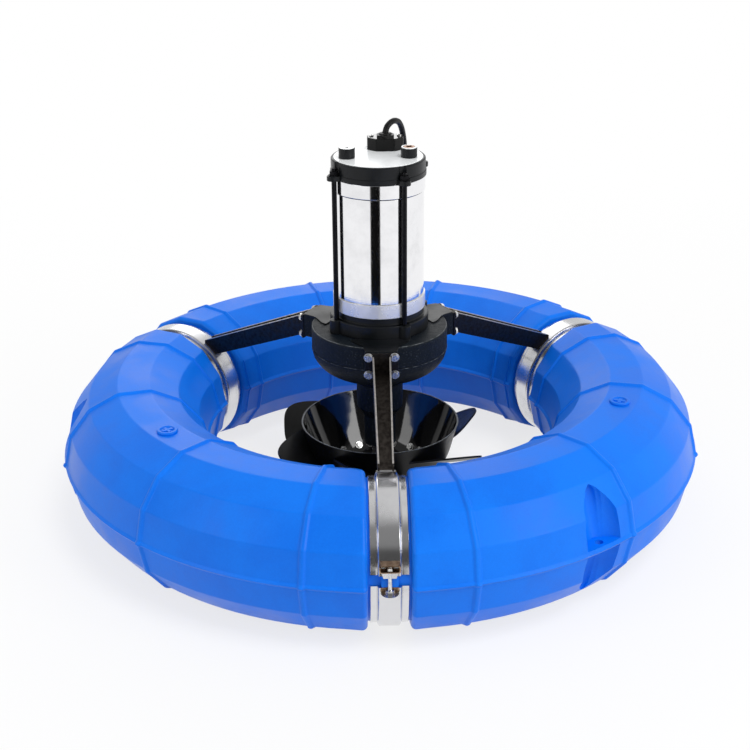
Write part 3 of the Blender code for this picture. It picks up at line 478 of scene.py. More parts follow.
# Cable
cableLook = {"radius": 0.006, "coilCentre": (0.096, 0.830), "outer": 0.072, "inner": 0.060, "tail": 0.050,
             "tailSteps": (0.25, 0.6, 1.0), "laps": 3.25, "lapSteps": 65, "stepsPerLeg": 4, "stacking": 1.05,
             "sideStep": 2.05, "goIn": (0.8, 1.0), "goUp": (1.7, 1.9), "goOut": (2.4, 2.6),
             "goDown": (3.0, 3.25), "core": 0.0016, "coreGap": 0.0004, "bare": 0.030, "rooted": 0.004,
             "coreEdge": 0.0005}
cableRoute = (
    (0.0155, 0.0510, 0.7570), (0.0160, 0.0513, 0.7670), (0.0205, 0.0545, 0.7780),
    (0.0320, 0.0650, 0.7850), (0.0445, 0.0840, 0.7765), (0.0525, 0.1030, 0.7480),
    (0.0560, 0.1160, 0.7000), (0.0540, 0.1160, 0.6000), (0.0500, 0.1180, 0.5000),
    (0.0460, 0.1420, 0.4250), (0.0420, 0.2100, 0.3650), (0.0380, 0.3000, 0.3280),
    (0.0340, 0.4000, 0.3080), (0.0310, 0.5050, 0.2945), (0.0300, 0.5450, 0.2920),
    (0.0300, 0.5840, 0.2760), (0.0300, 0.6200, 0.2450), (0.0300, 0.6440, 0.2080),
    (0.0300, 0.6560, 0.1600), (0.0300, 0.6600, 0.1100), (0.0300, 0.6680, 0.0600),
    (0.0300, 0.6880, 0.0220), (0.0300, 0.7180, 0.0075), (0.0300, 0.7520, 0.0066),
    (0.0300, 0.7810, 0.0066))


def smooth(points, perLeg):
    # a curve that runs through all the points
    points = [Vector(p) for p in points]
    ends = [2 * points[0] - points[1]] + points + [2 * points[-1] - points[-2]]
    result = []
    for i in range(1, len(ends) - 2):
        a, b, c, d = ends[i - 1:i + 3]
        for step in range(perLeg):
            t = step / perLeg
            result.append(0.5 * (2 * b + (c - a) * t + (2 * a - 5 * b + 4 * c - d) * t ** 2
                                 + (3 * b - a - 3 * c + d) * t ** 3))
    return result + [points[-1]]


def ease(t, span):
    share = min(max((t - span[0]) / (span[1] - span[0]), 0), 1)
    return share * share * (3 - 2 * share)


def coilPoint(look, t):
    # laps run clockwise from the coil's left side: outer, inner, up, inner, outer, then off to the side
    inward = ease(t, look["goIn"]) - ease(t, look["goOut"])
    radius = look["outer"] - (look["outer"] - look["inner"]) * inward
    height = look["radius"] * (look["stacking"] + 2 * ease(t, look["goUp"]))
    quarter = quarterTurn * ease(t, look["goDown"])
    radius += look["sideStep"] * look["radius"] * math.sin(quarter)
    height -= 2 * look["radius"] * (1 - math.cos(quarter))
    angle = math.pi - fullTurn * t
    return Vector((look["coilCentre"][0] + radius * math.cos(angle),
                   look["coilCentre"][1] + radius * math.sin(angle), height))


def addCable(look):
    points = [Vector(p) for p in cableRoute]
    points += [coilPoint(look, look["laps"] * k / look["lapSteps"]) for k in range(look["lapSteps"] + 1)]
    end = points[-1]
    points += [end + Vector((look["tail"] * share, 0, 0)) for share in look["tailSteps"]]
    path = smooth(points, look["stepsPerLeg"])
    curve = bpy.data.curves.new("supplyCable", "CURVE")
    curve.dimensions = "3D"
    curve.bevel_depth = look["radius"]
    curve.bevel_resolution = 3
    curve.use_fill_caps = True
    line = curve.splines.new("POLY")
    line.points.add(len(path) - 1)
    for point, spot in zip(line.points, path):
        point.co = (*spot, 1)
    line.use_smooth = True
    curve.materials.append(finishes["rubber"])
    cable = placed("supplyCable", curve)
    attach(cable, "frame")
    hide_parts("cable", "cable_coil", "cable_tail")
    length = sum((b - a).length for a, b in zip(path, path[1:]))
    cores = addCores(look, path[-1])
    print("cable laid,", round(length, 3), "m")


def addCores(look, end):
    tints = {"coreBrown": (0.090, 0.030, 0.012, 1), "coreGrey": (0.180, 0.180, 0.180, 1),
             "coreBlack": (0.010, 0.010, 0.010, 1), "coreGreen": (0.120, 0.300, 0.020, 1)}
    side = math.sqrt(2) * (look["core"] + look["coreGap"])
    profile = [(0, look["bare"]), (look["core"], look["bare"]), (look["core"], -look["rooted"]),
               (0, -look["rooted"])]
    rod = solidOf(profile, look["coreEdge"], 16, rise=0)
    cores = []
    for k, (name, tint) in enumerate(tints.items()):
        bench = Bench(name, Roughness=0.4)
        bench.feed("Base Color", bench.shade(bench.noise(300, 2), tint, darker(tint)))
        finishes[name] = bench.material
        angle = fullTurn * (k + 0.5) / len(tints)
        lay = Matrix.Translation(end) @ spin(quarterTurn, "Y")
        spread = slide(side * math.cos(angle), side * math.sin(angle), 0)
        cores.append(piece(name, movedMesh(rod, lay @ spread), name))
    return cores


addCable(cableLook)


# Ring float
floatLook = {"ring": 0.505, "radius": floatRadius, "sides": floatSides, "corner": 0.012,
             "ribHeight": ribHeight, "ribHalf": 0.0058, "ridge": 0.003, "shoulder": 0.038, "drop": 0.008,
             "neckInside": 0.10, "neck": 0.1272, "neckInset": 0.004, "lip": 0.1337, "lipWidth": 0.015,
             "lipGap": 0.0002, "neckEdge": 0.0015,
             "ribs": (13.5, 43.5, 76.5, 106.5), "first": 7.5, "last": 112.6, "step": 2.5,
             "eyeAngle": 36.75, "eyeReach": 0.633, "eyeRadius": 0.008, "scoopReach": 0.644,
             "scoopFoot": 0.026, "scoopLength": 0.112, "scoopLean": 25, "scoopSpreads": (0, 0.010, 0.020),
             "ribClear": 1.6, "eyeDepth": 0.02, "scoopBelow": 0.03, "scoopBlock": 0.12,
             "scoopSteps": 14, "lengthSpread": 0.6, "reachSpread": 1.25, "plate": 0.012}
# the ridge by height and rise, the shoulder by offset and drop, and a rib by half-width and rise;
# the ridge's smallest rises are lengths and all the others are shares
ridgeCurve = ((-0.0062, 0), (-0.0046, 0.0003), (-0.0030, 0.72), (0, 1), (0.0030, 0.72), (0.0046, 0.0003),
              (0.0062, 0))
shoulderCurve = ((0, 1.0), (0.0004, 0.80), (0.0018, 0.48), (0.0040, 0.20), (0.0066, 0.05), (0.0095, 0))
ribCurve = ((1.3, 0), (1.0, 0.05), (0.8, 0.30), (0.55, 0.78), (0.28, 0.96), (0, 1))
plugLook = {"angle": 66.5, "radius": 0.020, "height": 0.005, "recess": 0.0030, "recessShare": 0.62,
            "rimShares": (0.70, 0.92), "shoulder": 0.0022, "depth": 0.0052, "edge": 0.0009,
            "bar": (0.0115, 0.0030), "stub": (0.0030, 0.0100), "crossLow": 0.0036, "barTop": 0.0006,
            "stubTop": 0.0010, "crossEdge": 0.0007}


def floatSection(look, radius):
    # fourteen flats with soft corners, and a rounded moulding ridge at the outer and inner equator
    half = math.pi / look["sides"]
    tangent = look["corner"] * math.tan(half)
    points = []
    for i in range(look["sides"]):
        angle = 2 * half * i
        corner = Vector((radius * math.cos(angle), radius * math.sin(angle)))
        if i in (0, look["sides"] // 2):
            side = 1 if i == 0 else -1
            for height, rise in ridgeCurve:
                lift = look["ridge"] * rise if rise > 0.01 else rise
                reach = radius - abs(height) * math.tan(half) + lift
                points.append(Vector((side * reach, side * height)))
            continue
        along = Vector((-math.sin(angle + half), math.cos(angle + half)))
        back = Vector((math.sin(angle - half), -math.cos(angle - half)))
        start, end = corner + back * tangent, corner + along * tangent
        points += [start, (start + end + 2 * corner) / 4, end]
    return points


def floatStations(look):
    # (angle, or the name of the joint's side, offset from that joint, radius)
    radius, high = look["radius"], look["ribHeight"]
    near = [("start", look["shoulder"] + offset, radius - look["drop"] * drop)
            for offset, drop in shoulderCurve]
    ribHalf = math.degrees(look["ribHalf"] / look["ring"])
    inner = []
    angle = look["first"]
    while angle < look["last"]:
        if all(abs(angle - rib) > look["ribClear"] * ribHalf for rib in look["ribs"]):
            inner.append((angle, radius))
        angle += look["step"]
    for rib in look["ribs"]:
        for share, rise in ribCurve:
            inner += [(rib + side * share * ribHalf, radius + high * rise)
                      for side in (-1, 1) if share or side > 0]
    middle = [(math.radians(a), 0, r) for a, r in sorted(inner)]
    return near + middle + [("end", offset, r) for _, offset, r in reversed(near)]


def floatRing(look, station):
    angle, offset, radius = station
    points = []
    for u, height in floatSection(look, radius):
        reach = look["ring"] + u
        if angle == "start":
            points.append(Vector((reach, offset, height)))
        elif angle == "end":
            points.append(spin(fullTurn / 3) @ Vector((reach, -offset, height)))
        else:
            points.append(Vector((reach * math.cos(angle), reach * math.sin(angle), height)))
    return points


def scoop(look, side, spread):
    # a hollow that leans in with the float's wall, flat where it meets the mooring plate
    foot, length = look["scoopFoot"] + spread, look["scoopLength"] + look["lengthSpread"] * spread
    angles = [quarterTurn * (1 - k / look["scoopSteps"]) for k in range(1, look["scoopSteps"] + 1)]
    profile = [(0, length)] + [(foot * math.cos(a), length * math.sin(a)) for a in angles]
    profile += [(foot, -look["scoopBelow"]), (0, -look["scoopBelow"])]
    tool = movedMesh(lathe(profile, 64, False, rise=0), spin(-math.radians(look["scoopLean"]), "Y"))
    wide, top = look["scoopBlock"], look["plate"] / 2
    tool = carve(shifted(tool, 0, 0, top), [softBox((-wide, -wide, -wide), (wide, wide, top))])
    if side < 0:
        tool = movedMesh(tool, spin(math.pi, "X"))
    reach = look["scoopReach"] + look["reachSpread"] * spread
    return movedMesh(tool, atAngle(math.radians(look["eyeAngle"]), reach, 0))


def floatMesh(look):
    # wider and shallower scoops around the deepest one give the hollow its soft edge
    hollows = [scoop(look, side, spread) for side in (1, -1) for spread in look["scoopSpreads"]]
    eyePlace = atAngle(math.radians(look["eyeAngle"]), look["eyeReach"], 0)
    eye = movedMesh(drum(look["eyeRadius"], -look["eyeDepth"], look["eyeDepth"]), eyePlace)
    shell = loft([floatRing(look, station) for station in floatStations(look)])
    body = carve(shell, hollows + [eye])
    inset = look["shoulder"] + look["neckInset"]
    inside, outside, lip, gap = look["neckInside"], look["neck"], look["lip"], look["lipGap"]
    corners = [(inside, inset), (outside, inset), (outside, look["lipWidth"]), (lip, look["lipWidth"]),
               (lip, gap), (inside, gap)]
    neck = lathe(rounded(corners, look["neckEdge"], 2), rise=0)
    ring = slide(look["ring"], 0, 0) @ spin(quarterTurn, "X")
    ends = (ring @ spin(math.pi, "X"), spin(fullTurn / 3) @ ring)
    return joinMeshes([body] + [movedMesh(neck, end) for end in ends])


def plugMesh(look):
    # a screwed plug with a raised rim and a cross bar in its recess
    top = floatRadius * math.cos(math.pi / floatSides) + look["height"]
    radius, recess = look["radius"], top - look["recess"]
    profile = [(0, recess), (radius * look["recessShare"], recess)]
    profile += [(radius * share, top) for share in look["rimShares"]]
    profile += [(radius, top - look["shoulder"]), (radius, top - look["depth"]), (0, top - look["depth"])]
    parts = [solidOf(profile, look["edge"], steps=2, rise=0)]
    for name in ("bar", "stub"):
        x, y = look[name]
        low, high = top - look["crossLow"], top - look[name + "Top"]
        parts.append(softBox((-x, -y, low), (x, y, high), look["crossEdge"]))
    return movedMesh(joinMeshes(parts), atAngle(math.radians(look["angle"]), floatLook["ring"], 0))


def addFloats(look):
    shell = floatMesh(look)
    plug = plugMesh(plugLook)
    for i, joint in enumerate(joints):
        place = slide(0, 0, equator) @ spin(joint)
        piece(f"floatShell{i + 1}", movedMesh(shell, place), "blue", [f"float_{i + 1}"],
              angle=50)
        piece(f"floatPlug{i + 1}", movedMesh(plug, place), "blue", [f"float_plug_{i + 1}"])
    print("floats lofted")


addFloats(floatLook)


# Band clamps
bandLook = {"width": 0.068, "bead": 0.038, "beadInset": 0.0005, "sheet": 0.0025, "flank": 0.1300,
            "crown": 0.1365, "edge": 0.0012, "splitLow": 0.0010, "splitHigh": 0.0220, "tabFoot": 0.011,
            "tabInset": 0.003, "tabRooted": 0.001, "tabProud": 0.0025, "rim": ((-0.0008, 0), (0, -0.0012)),
            "step": ((0, 0.0042), (-0.0006, 0.0030)), "rise": ((-0.0012, 0.0004), (0, -0.0018)),
            "pocketLow": (-0.0165, -0.0095, 0.0), "pocketHigh": (0.0165, 0.0035, 0.02),
            "pocketEdge": 0.0055, "pocketReach": 0.128, "backLow": (-0.0172, -0.0102, 0),
            "backHigh": (0.0172, 0.0010, 0.0008), "backEdge": 0.0002, "backReach": 0.1340}
lugLook = {"low": 0.034, "high": 0.049, "front": 0.145, "frontStep": 0.0006, "rooted": 0.012, "floor": 0.004,
           "sheet": 0.0022, "corner": 0.004, "insideCorner": 0.003}
clampLook = {"reach": 0.1365, "shank": 0.004, "shankLow": -0.0160, "shankHigh": 0.044,
             "head": (0.0075, 0.0365, 0.0425), "nut": (0.0085, -0.0090, -0.0022),
             "flange": ((0.0045, -0.0106), (0.0140, -0.0106), (0.0155, -0.0092), (0.0045, -0.0088)),
             "shelf": ((0.124, -0.017), (0.136, -0.017), (0.1410, -0.011), (0.1435, 0), (0.1410, 0.011),
                       (0.136, 0.017), (0.124, 0.017)),
             "shelfLow": -0.0155, "shelfHigh": -0.0093, "shelfEdge": 0.0006}


def bandMesh(look):
    half, bead, sheet = look["width"] / 2, look["bead"] / 2, look["sheet"]
    flank, crown = look["flank"], look["crown"]
    outer = [(flank + r, half + h) for r, h in look["rim"]]
    outer += [(flank + r, bead + h) for r, h in look["step"]]
    outer += [(crown + r, bead + h) for r, h in look["rise"]]
    outer = outer + [(r, -h) for r, h in reversed(outer)]
    inner = [(flank - sheet, -half), (flank - sheet, -bead + sheet), (crown - sheet, -bead + sheet),
             (crown - sheet, bead - sheet), (flank - sheet, bead - sheet), (flank - sheet, half)]
    start = math.asin(look["splitHigh"] / flank)
    sweep = fullTurn - start + math.asin(look["splitLow"] / flank)
    return lathe(rounded(outer, look["edge"], 2) + inner, 120, True, start, sweep, rise=0)


def lugMesh(look, half):
    # a folded lug, open to the front
    low, high, sheet = look["low"], look["high"], look["sheet"]
    outline = rounded([(-half, low), (half, low), (half, high), (-half, high)], look["corner"], 4, True)
    inside = rounded([(-half + sheet, low + sheet), (half - sheet, low + sheet), (half - sheet, high - sheet),
                      (-half + sheet, high - sheet)], look["insideCorner"], 4, True)
    back, front = bandLook["crown"] - look["rooted"], look["front"]
    rings = ((outline, back), (outline, front - look["frontStep"]), (inside, front),
             (inside, back + look["floor"]))
    return loft([[(depth, y, z) for z, y in ring] for ring, depth in rings])


def tabMesh(look, half):
    # the tapered tab that hangs below the lug
    rooted, foot, inset = look["tabRooted"], look["tabFoot"], half - look["tabInset"]
    low, split = lugLook["low"] + rooted, look["splitHigh"] - rooted
    corners = ((-inset, low), (inset, low), (foot, split), (-foot, split))
    depths = (look["crown"] - rooted, look["crown"] + look["tabProud"])
    return loft([[(x, y, z) for z, y in corners] for x in depths])


def clampBolt(look):
    # vertical clamp bolt: shank through both ears, hexagonal head in the lug, nut and washer under the split
    shank = drum(look["shank"], look["shankLow"], look["shankHigh"], 24)
    flange = lathe(look["flange"], 40, rise=0)
    stack = joinMeshes([shank, hexNut(*look["head"]), hexNut(*look["nut"]), flange])
    return movedMesh(stack, slide(look["reach"], 0, 0) @ spin(-quarterTurn, "X"))


def addBands(look):
    half = look["bead"] / 2 - look["beadInset"]
    pocket = softBox(look["pocketLow"], look["pocketHigh"], look["pocketEdge"], 4)
    pocket = movedMesh(pocket, slide(look["pocketReach"], 0, 0) @ spin(quarterTurn, "Y"))
    band = carve(bandMesh(look), [pocket])
    # the lower ear is a short shelf with a rounded front, under the nut
    shelf = prism(clampLook["shelf"], clampLook["shelfLow"], clampLook["shelfHigh"], clampLook["shelfEdge"])
    band = joinMeshes([band, tabMesh(look, half), movedMesh(shelf, spin(-quarterTurn, "X"))])
    back = softBox(look["backLow"], look["backHigh"], look["backEdge"])
    back = movedMesh(back, slide(look["backReach"], 0, 0) @ spin(quarterTurn, "Y"))
    lug, bolt = joinMeshes([lugMesh(lugLook, half), back]), clampBolt(clampLook)
    for i, joint in enumerate(joints):
        place = jointFrame(joint)
        piece(f"band{i + 1}", movedMesh(band, place), "band", [f"band_clamp_{i + 1}"])
        piece(f"bandLug{i + 1}", movedMesh(lug, place), "lug")
        piece(f"bandBolt{i + 1}", movedMesh(bolt, place), "zinc", [f"clamp_bolt_{i + 1}"])
    print("bands closed")


addBands(bandLook)


# Arms
armLook = {"inner": 0.1623, "plate": 0.005, "plateEdge": 0.0009, "low": 0.185, "high": 0.2365,
           "halfWidth": 0.0325, "end": 0.430, "top": (0.2341, 0.1241), "bottom": (0.1902, 0.085),
           "half": (0.018, 0.0145),
           "sheet": 0.003, "sheetEdge": 0.0011, "stations": 14, "paleTopFrom": 0.02, "paleTopSpan": 0.95,
           "paleTopOutside": ((0.0003, -0.0012), (0.0001, 0.0004)),
           "paleTopInside": ((0, 0.0004), (-0.0002, -0.0012)), "seatDepth": 0.04,
           "boltSide": 0.0255, "boltRise": 0.018, "boltMiddle": 0.211, "boltHead": (0.0075, 0.0012, 0.0067),
           "washer": ((0, 0.0012), (0.0088, 0.0012), (0.0092, 0.0006), (0.0092, 0), (0, 0)),
           "boltTurns": (0.4, 0.7), "seat": 0.1368, "foot": 0.0035, "footHalf": 0.018, "footEdge": 0.0008,
           "footAngles": (123, 140)}


def along(ends, t):
    return ends[0] + (ends[1] - ends[0]) * t


def channelMesh(look):
    # a folded channel, open at its top, that tapers from the gearbox to the band
    rings = []
    sheet = look["sheet"]
    for k in range(look["stations"] + 1):
        t = k / look["stations"]
        x = along((look["inner"] + look["plate"] / 2, look["end"]), t)
        top, low, half = along(look["top"], t), along(look["bottom"], t), along(look["half"], t)
        outline = [(-half, top), (-half, low), (half, low), (half, top), (half - sheet, top),
                   (half - sheet, low + sheet), (-half + sheet, low + sheet), (-half + sheet, top)]
        rings.append([(x, y, z) for y, z in rounded(outline, look["sheetEdge"], 2, True)])
    clearance = drum(look["seat"], -look["seatDepth"], look["seatDepth"], 160)
    return carve(loft(rings), [movedMesh(clearance, slide(0, 0, -equator) @ jointFrame(0))])


def edgeMesh(look, side):
    # a pale strip along the top edge of one channel wall
    rings = []
    for k in range(look["stations"] + 1):
        t = look["paleTopFrom"] + look["paleTopSpan"] * k / look["stations"]
        x = along((look["inner"] + look["plate"], look["end"]), t)
        top, outside = along(look["top"], t), along(look["half"], t)
        inside = outside - look["sheet"]
        outline = [(outside + y, top + z) for y, z in look["paleTopOutside"]]
        outline += [(inside + y, top + z) for y, z in look["paleTopInside"]]
        rings.append([(x, side * y, z) for y, z in outline])
    return loft(rings)


def footMesh(look):
    start, end = [math.radians(a) for a in look["footAngles"]]
    seat, top, half = look["seat"], look["seat"] + look["foot"], look["footHalf"]
    foot = ringOf([(seat, -half), (top, -half), (top, half), (seat, half)], look["footEdge"], 14, 2,
                  start=start, sweep=end - start, rise=0)
    return movedMesh(foot, slide(0, 0, -equator) @ jointFrame(0))


def armBolts(look):
    bolts = []
    stack = joinMeshes([hexNut(*look["boltHead"]), lathe(look["washer"], 32, False, rise=0)])
    for side in (-1, 1):
        for rise in (-1, 1):
            bolt = turned(stack, look["boltTurns"][0] * side + look["boltTurns"][1] * rise)
            spot = slide(look["inner"] + look["plate"], side * look["boltSide"],
                         look["boltMiddle"] + rise * look["boltRise"])
            bolts.append(movedMesh(bolt, spot @ spin(quarterTurn, "Y")))
    return joinMeshes(bolts)


def addArms(look):
    flange = softBox((look["inner"], -look["halfWidth"], look["low"]),
                     (look["inner"] + look["plate"], look["halfWidth"], look["high"]), look["plateEdge"])
    channel = joinMeshes([channelMesh(look), flange])
    edges = joinMeshes([edgeMesh(look, -1), edgeMesh(look, 1)])
    foot, bolts = footMesh(look), armBolts(look)
    for i, joint in enumerate(joints):
        place = slide(0, 0, equator) @ spin(joint)
        piece(f"armChannel{i + 1}", movedMesh(channel, place), "arm", [f"arm_{i + 1}"])
        piece(f"armEdges{i + 1}", movedMesh(edges, place), "paleTop")
        piece(f"armFoot{i + 1}", movedMesh(foot, place), "band")
        piece(f"armBolts{i + 1}", movedMesh(bolts, place), "zinc")
    print("arms bolted on")


addArms(armLook)


# Gearbox, with heights from the float's equator
boxLook = {"radius": 0.1388, "top": 0.236, "roof": 0.226, "cavity": 0.1278, "parting": 0.1893, "bore": 0.0145,
           "edge": 0.0032, "bossReach": 0.162, "bossHalf": 0.0325, "bossRoot": 0.130, "bossRise": 0.001,
           "bossEdge": 0.0026, "hubEdge": 0.006, "tubeEdge": 0.003, "tongueLow": -0.002, "tongueHigh": 0.0028,
           "tongueCorner": 0.004, "tongueEdge": 0.0012,
           "tube": ((0.0305, 0.1120), (0.048, 0.1120), (0.048, 0.056), (0.033, 0.036), (0.033, -0.030),
                    (0.0305, -0.030)),
           "tongue": ((0.092, -0.060), (0.104, -0.056), (0.132, -0.034), (0.1605, -0.0318), (0.1605, 0.0318),
                      (0.132, 0.034), (0.104, 0.056), (0.092, 0.060)),
           "rim": ((-0.0030, -0.0003), (-0.0020, 0.0002), (-0.0010, -0.0006), (-0.0024, -0.0014)),
           "seam": ((-0.001, -0.0004), (0.0004, -0.0004), (0.0004, 0.0005), (-0.001, 0.0005))}
lowerCurve = ((0.1388, 0.1890), (0.1388, 0.186), (0.134, 0.170), (0.120, 0.152), (0.100, 0.140),
              (0.083, 0.136), (0.060, 0.127), (0.050, 0.1123))
innerCurve = ((0.0305, 0.1123), (0.0305, 0.146), (0.075, 0.150), (0.100, 0.160), (0.1185, 0.174),
              (0.1275, 0.1890))


def addGearbox(look):
    radius, top, parting, bore = look["radius"], look["top"], look["parting"], look["bore"]
    roof, cavity = look["roof"], look["cavity"]
    lid = lathe(rounded([(bore, roof), (bore, top), (radius, top), (radius, parting), (cavity, parting),
                         (cavity, roof)], look["edge"], 4), 128)
    boss = softBox((look["bossRoot"], -look["bossHalf"], parting + equator),
                   (look["bossReach"], look["bossHalf"], top + look["bossRise"] + equator),
                   look["bossEdge"], 3)
    piece("gearboxLid", joinMeshes([lid] + [turned(boss, joint) for joint in joints]), "iron",
          ["gearbox_housing"])
    hub = rounded(lowerCurve[5:], look["hubEdge"], 4)
    profile = [Vector(lowerCurve[0])] + smooth(lowerCurve[1:6], 5) + hub[1:]
    piece("gearboxDish", lathe(profile + list(innerCurve), 128), "iron", ["gearbox_bottom"])
    piece("shaftTube", ringOf(look["tube"], look["tubeEdge"], 96), "iron", ["shaft_housing"])
    # a smooth raised tongue from the motor seat to each boss, and lighter, patchy strips along the casting's
    # rim and parting seam
    tongue = prism(rounded(look["tongue"], look["tongueCorner"], 3, True), top + look["tongueLow"] + equator,
                   top + look["tongueHigh"] + equator, look["tongueEdge"])
    piece("gearboxTongue", joinMeshes([turned(tongue, joint) for joint in joints]), "paint")
    edges = [lathe([(radius + r, level + h) for r, h in look[name]], 128)
             for name, level in (("rim", top), ("seam", parting))]
    piece("gearboxEdges", joinMeshes(edges), "paleStrip")
    print("gearbox cast")


addGearbox(boxLook)


# Motor, with heights from the float's equator
motorLook = {"rods": 4, "rodPhase": 28.85, "rodCircle": 0.099, "rodRadius": 0.005, "rodLow": 0.2553,
             "rodHigh": 0.5755, "rodEdge": 0.001, "nut": (0.0095, 0.5625, 0.5700),
             "washer": (0.0108, 0.5611, 0.5625), "pocket": (0.0108, 0.5610, 0.60),
             "earHalf": 0.012, "earFlare": 1.5, "earRoot": 0.080, "earNeck": 0.0945,
             "earReach": 0.1135, "earEdge": 0.0016, "seatEars": (0.2363, 0.265), "seatEarEdge": 0.002,
             "capEars": (0.5510, 0.5610), "seatEdge": 0.0022, "capEdge": 0.0009,
             "seat": ((0.0145, 0.2363), (0.100, 0.2363), (0.100, 0.265), (0.090, 0.265), (0.090, 0.2790),
                      (0.0145, 0.2790)),
             "cap": ((0, 0.5510), (0.0945, 0.5510), (0.0945, 0.5610), (0.0930, 0.5612), (0.0930, 0.5835),
                     (0.0905, 0.5858), (0.0885, 0.5852), (0, 0.5850)),
             "disc": ((0, 0.5865), (0.0872, 0.5865), (0.0880, 0.5858), (0.0880, 0.5845), (0, 0.5845))}
# each steel tube by its inner and outer radius, low and high end, and edge
steelTubes = {"lowerCollar": (0.0873, 0.0933, 0.2795, 0.308, 0.0011, "collar", "motor_lower_collar"),
              "motorBarrel": (0.0873, 0.0903, 0.3083, 0.5211, 0.0004, "barrel", "motor_barrel"),
              "upperCollar": (0.0870, 0.0925, 0.5227, 0.5507, 0.0011, "barrel", "motor_upper_collar")}


def rodPlaces(look):
    angles = [math.radians(look["rodPhase"] + 90 * i) for i in range(look["rods"])]
    return [(look["rodCircle"] * math.cos(a), look["rodCircle"] * math.sin(a)) for a in angles]


def earMeshes(look, low, high, edge):
    # rounded lobes around the tie rods
    circle, half = look["rodCircle"], look["earHalf"]
    lobe = look["earReach"] - circle
    flare = half * look["earFlare"]
    outline = [(look["earRoot"], -flare), (look["earNeck"], -half), (circle, -half)]
    turns = [math.pi * s / 8 for s in range(1, 8)]
    outline += [(circle + lobe * math.sin(turn), -half * math.cos(turn)) for turn in turns]
    outline += [(circle, half), (look["earNeck"], half), (look["earRoot"], flare)]
    ear = prism(outline, low + equator, high + equator, edge)
    return [turned(ear, math.radians(look["rodPhase"] + 90 * k)) for k in range(look["rods"])]


def addMotor(look):
    seat = [ringOf(look["seat"], look["seatEdge"])] + earMeshes(look, *look["seatEars"], look["seatEarEdge"])
    piece("motorSeat", joinMeshes(seat), "paint", ["motor_seat"])
    for name, (inner, outer, low, high, edge, finish, node) in steelTubes.items():
        tube = ringOf([(inner, low), (outer, low), (outer, high), (inner, high)], edge)
        piece(name, tube, finish, [node])
    pocket = drum(*look["pocket"], 40, equator)
    pockets = [shifted(pocket, x, y, 0) for x, y in rodPlaces(look)]
    body = carve(solidOf(look["cap"], look["capEdge"], 128), pockets)
    ears = earMeshes(look, *look["capEars"], look["earEdge"])
    piece("motorCap", joinMeshes([body] + ears), "paint", ["motor_cap"])
    piece("capTop", lathe(look["disc"], 128, False), "nearWhite")
    radius, low, high = look["rodRadius"], look["rodLow"], look["rodHigh"]
    rod = solidOf([(0, high), (radius, high), (radius, low), (0, low)], look["rodEdge"], 32)
    nut = shifted(hexNut(*look["nut"]), 0, 0, equator)
    stack = joinMeshes([rod, nut, drum(*look["washer"], 32, equator)])
    for i, (x, y) in enumerate(rodPlaces(look)):
        piece(f"tieRod{i + 1}", shifted(stack, x, y, 0), "rod", [f"tie_rod_{i + 1}"])
    print("motor stacked")


addMotor(motorLook)


# Fittings on the cap, with heights from the cap's top
holeLook = {"share": 0.6, "edge": 0.0008, "clear": 0.01}
fittingLook = {"base": 0.5868, "oil": (-0.0613, -0.0136), "brass": (0.0597, -0.0124), "radius": 0.016,
               "height": 0.020, "socket": 0.0035, "recess": 0.004, "plugEdge": 0.0013, "bossInside": 0.0118,
               "bossHeight": 0.0185, "bossEdge": 0.0012, "brassHead": (0.0116, 0.0062), "brassLow": 0.006,
               "topInsides": {"oil": 0.0036, "brass": 0.0120}, "topRadius": 0.0150, "topLow": 0.0180,
               "topHigh": 0.0202, "box": (0.0155, 0.0545), "boxLength": 0.036, "boxDepth": 0.024,
               "boxHeight": 0.024, "boxCorner": 0.003, "boxEdge": 0.0018, "lidShare": (0.95, 0.92),
               "lidSunk": 0.001, "lidRise": 0.0003, "lidEdge": 0.0002, "gland": (0.0155, 0.0510),
               "glandRadius": 0.0195, "glandTall": 0.0055, "glandChamfer": 0.0015, "cableHole": 0.0061,
               "screw": (0.0045, 0.0022), "screwSide": 0.0275, "screwBack": 0.004, "screwTall": 0.0028,
               "boxShape": ((-1, 0.45), (-0.55, 1), (0.55, 1), (1, 0.45), (1, -0.35), (0.5, -1), (-0.5, -1),
                            (-1, -0.35)),
               "sleeve": ((0.0061, 0.0040), (0.0135, 0.0040), (0.0125, 0.0078), (0.0090, 0.0088),
                          (0.0061, 0.0089))}


def hexHole(radius, socket, low, high):
    depth = holeLook["share"] * (high - low)
    outer = solidOf([(0, high), (radius, high), (radius, low), (0, low)], holeLook["edge"], 48, 2, rise=0)
    return carve(outer, [hexPrism(socket, high - depth, high + holeLook["clear"])])


def addPlugs(look):
    base, radius, socket = look["base"], look["radius"], look["socket"]
    top, floor = base + look["height"], base + look["height"] - look["recess"]
    oil = solidOf([(0, floor), (socket, floor), (socket, top), (radius, top), (radius, base), (0, base)],
                  look["plugEdge"])
    piece("oilPlug", shifted(oil, *look["oil"], 0), "paint", ["oil_plug"])
    inside, bossTop = look["bossInside"], base + look["bossHeight"]
    boss = ringOf([(inside, bossTop), (radius, bossTop), (radius, base), (inside, base)],
                  look["bossEdge"], 64)
    piece("brassPlugBoss", shifted(boss, *look["brass"], 0), "paint", ["brass_plug"])
    head = hexHole(*look["brassHead"], base + look["brassLow"], top)
    piece("brassPlugHead", shifted(head, *look["brass"], equator), "brass")


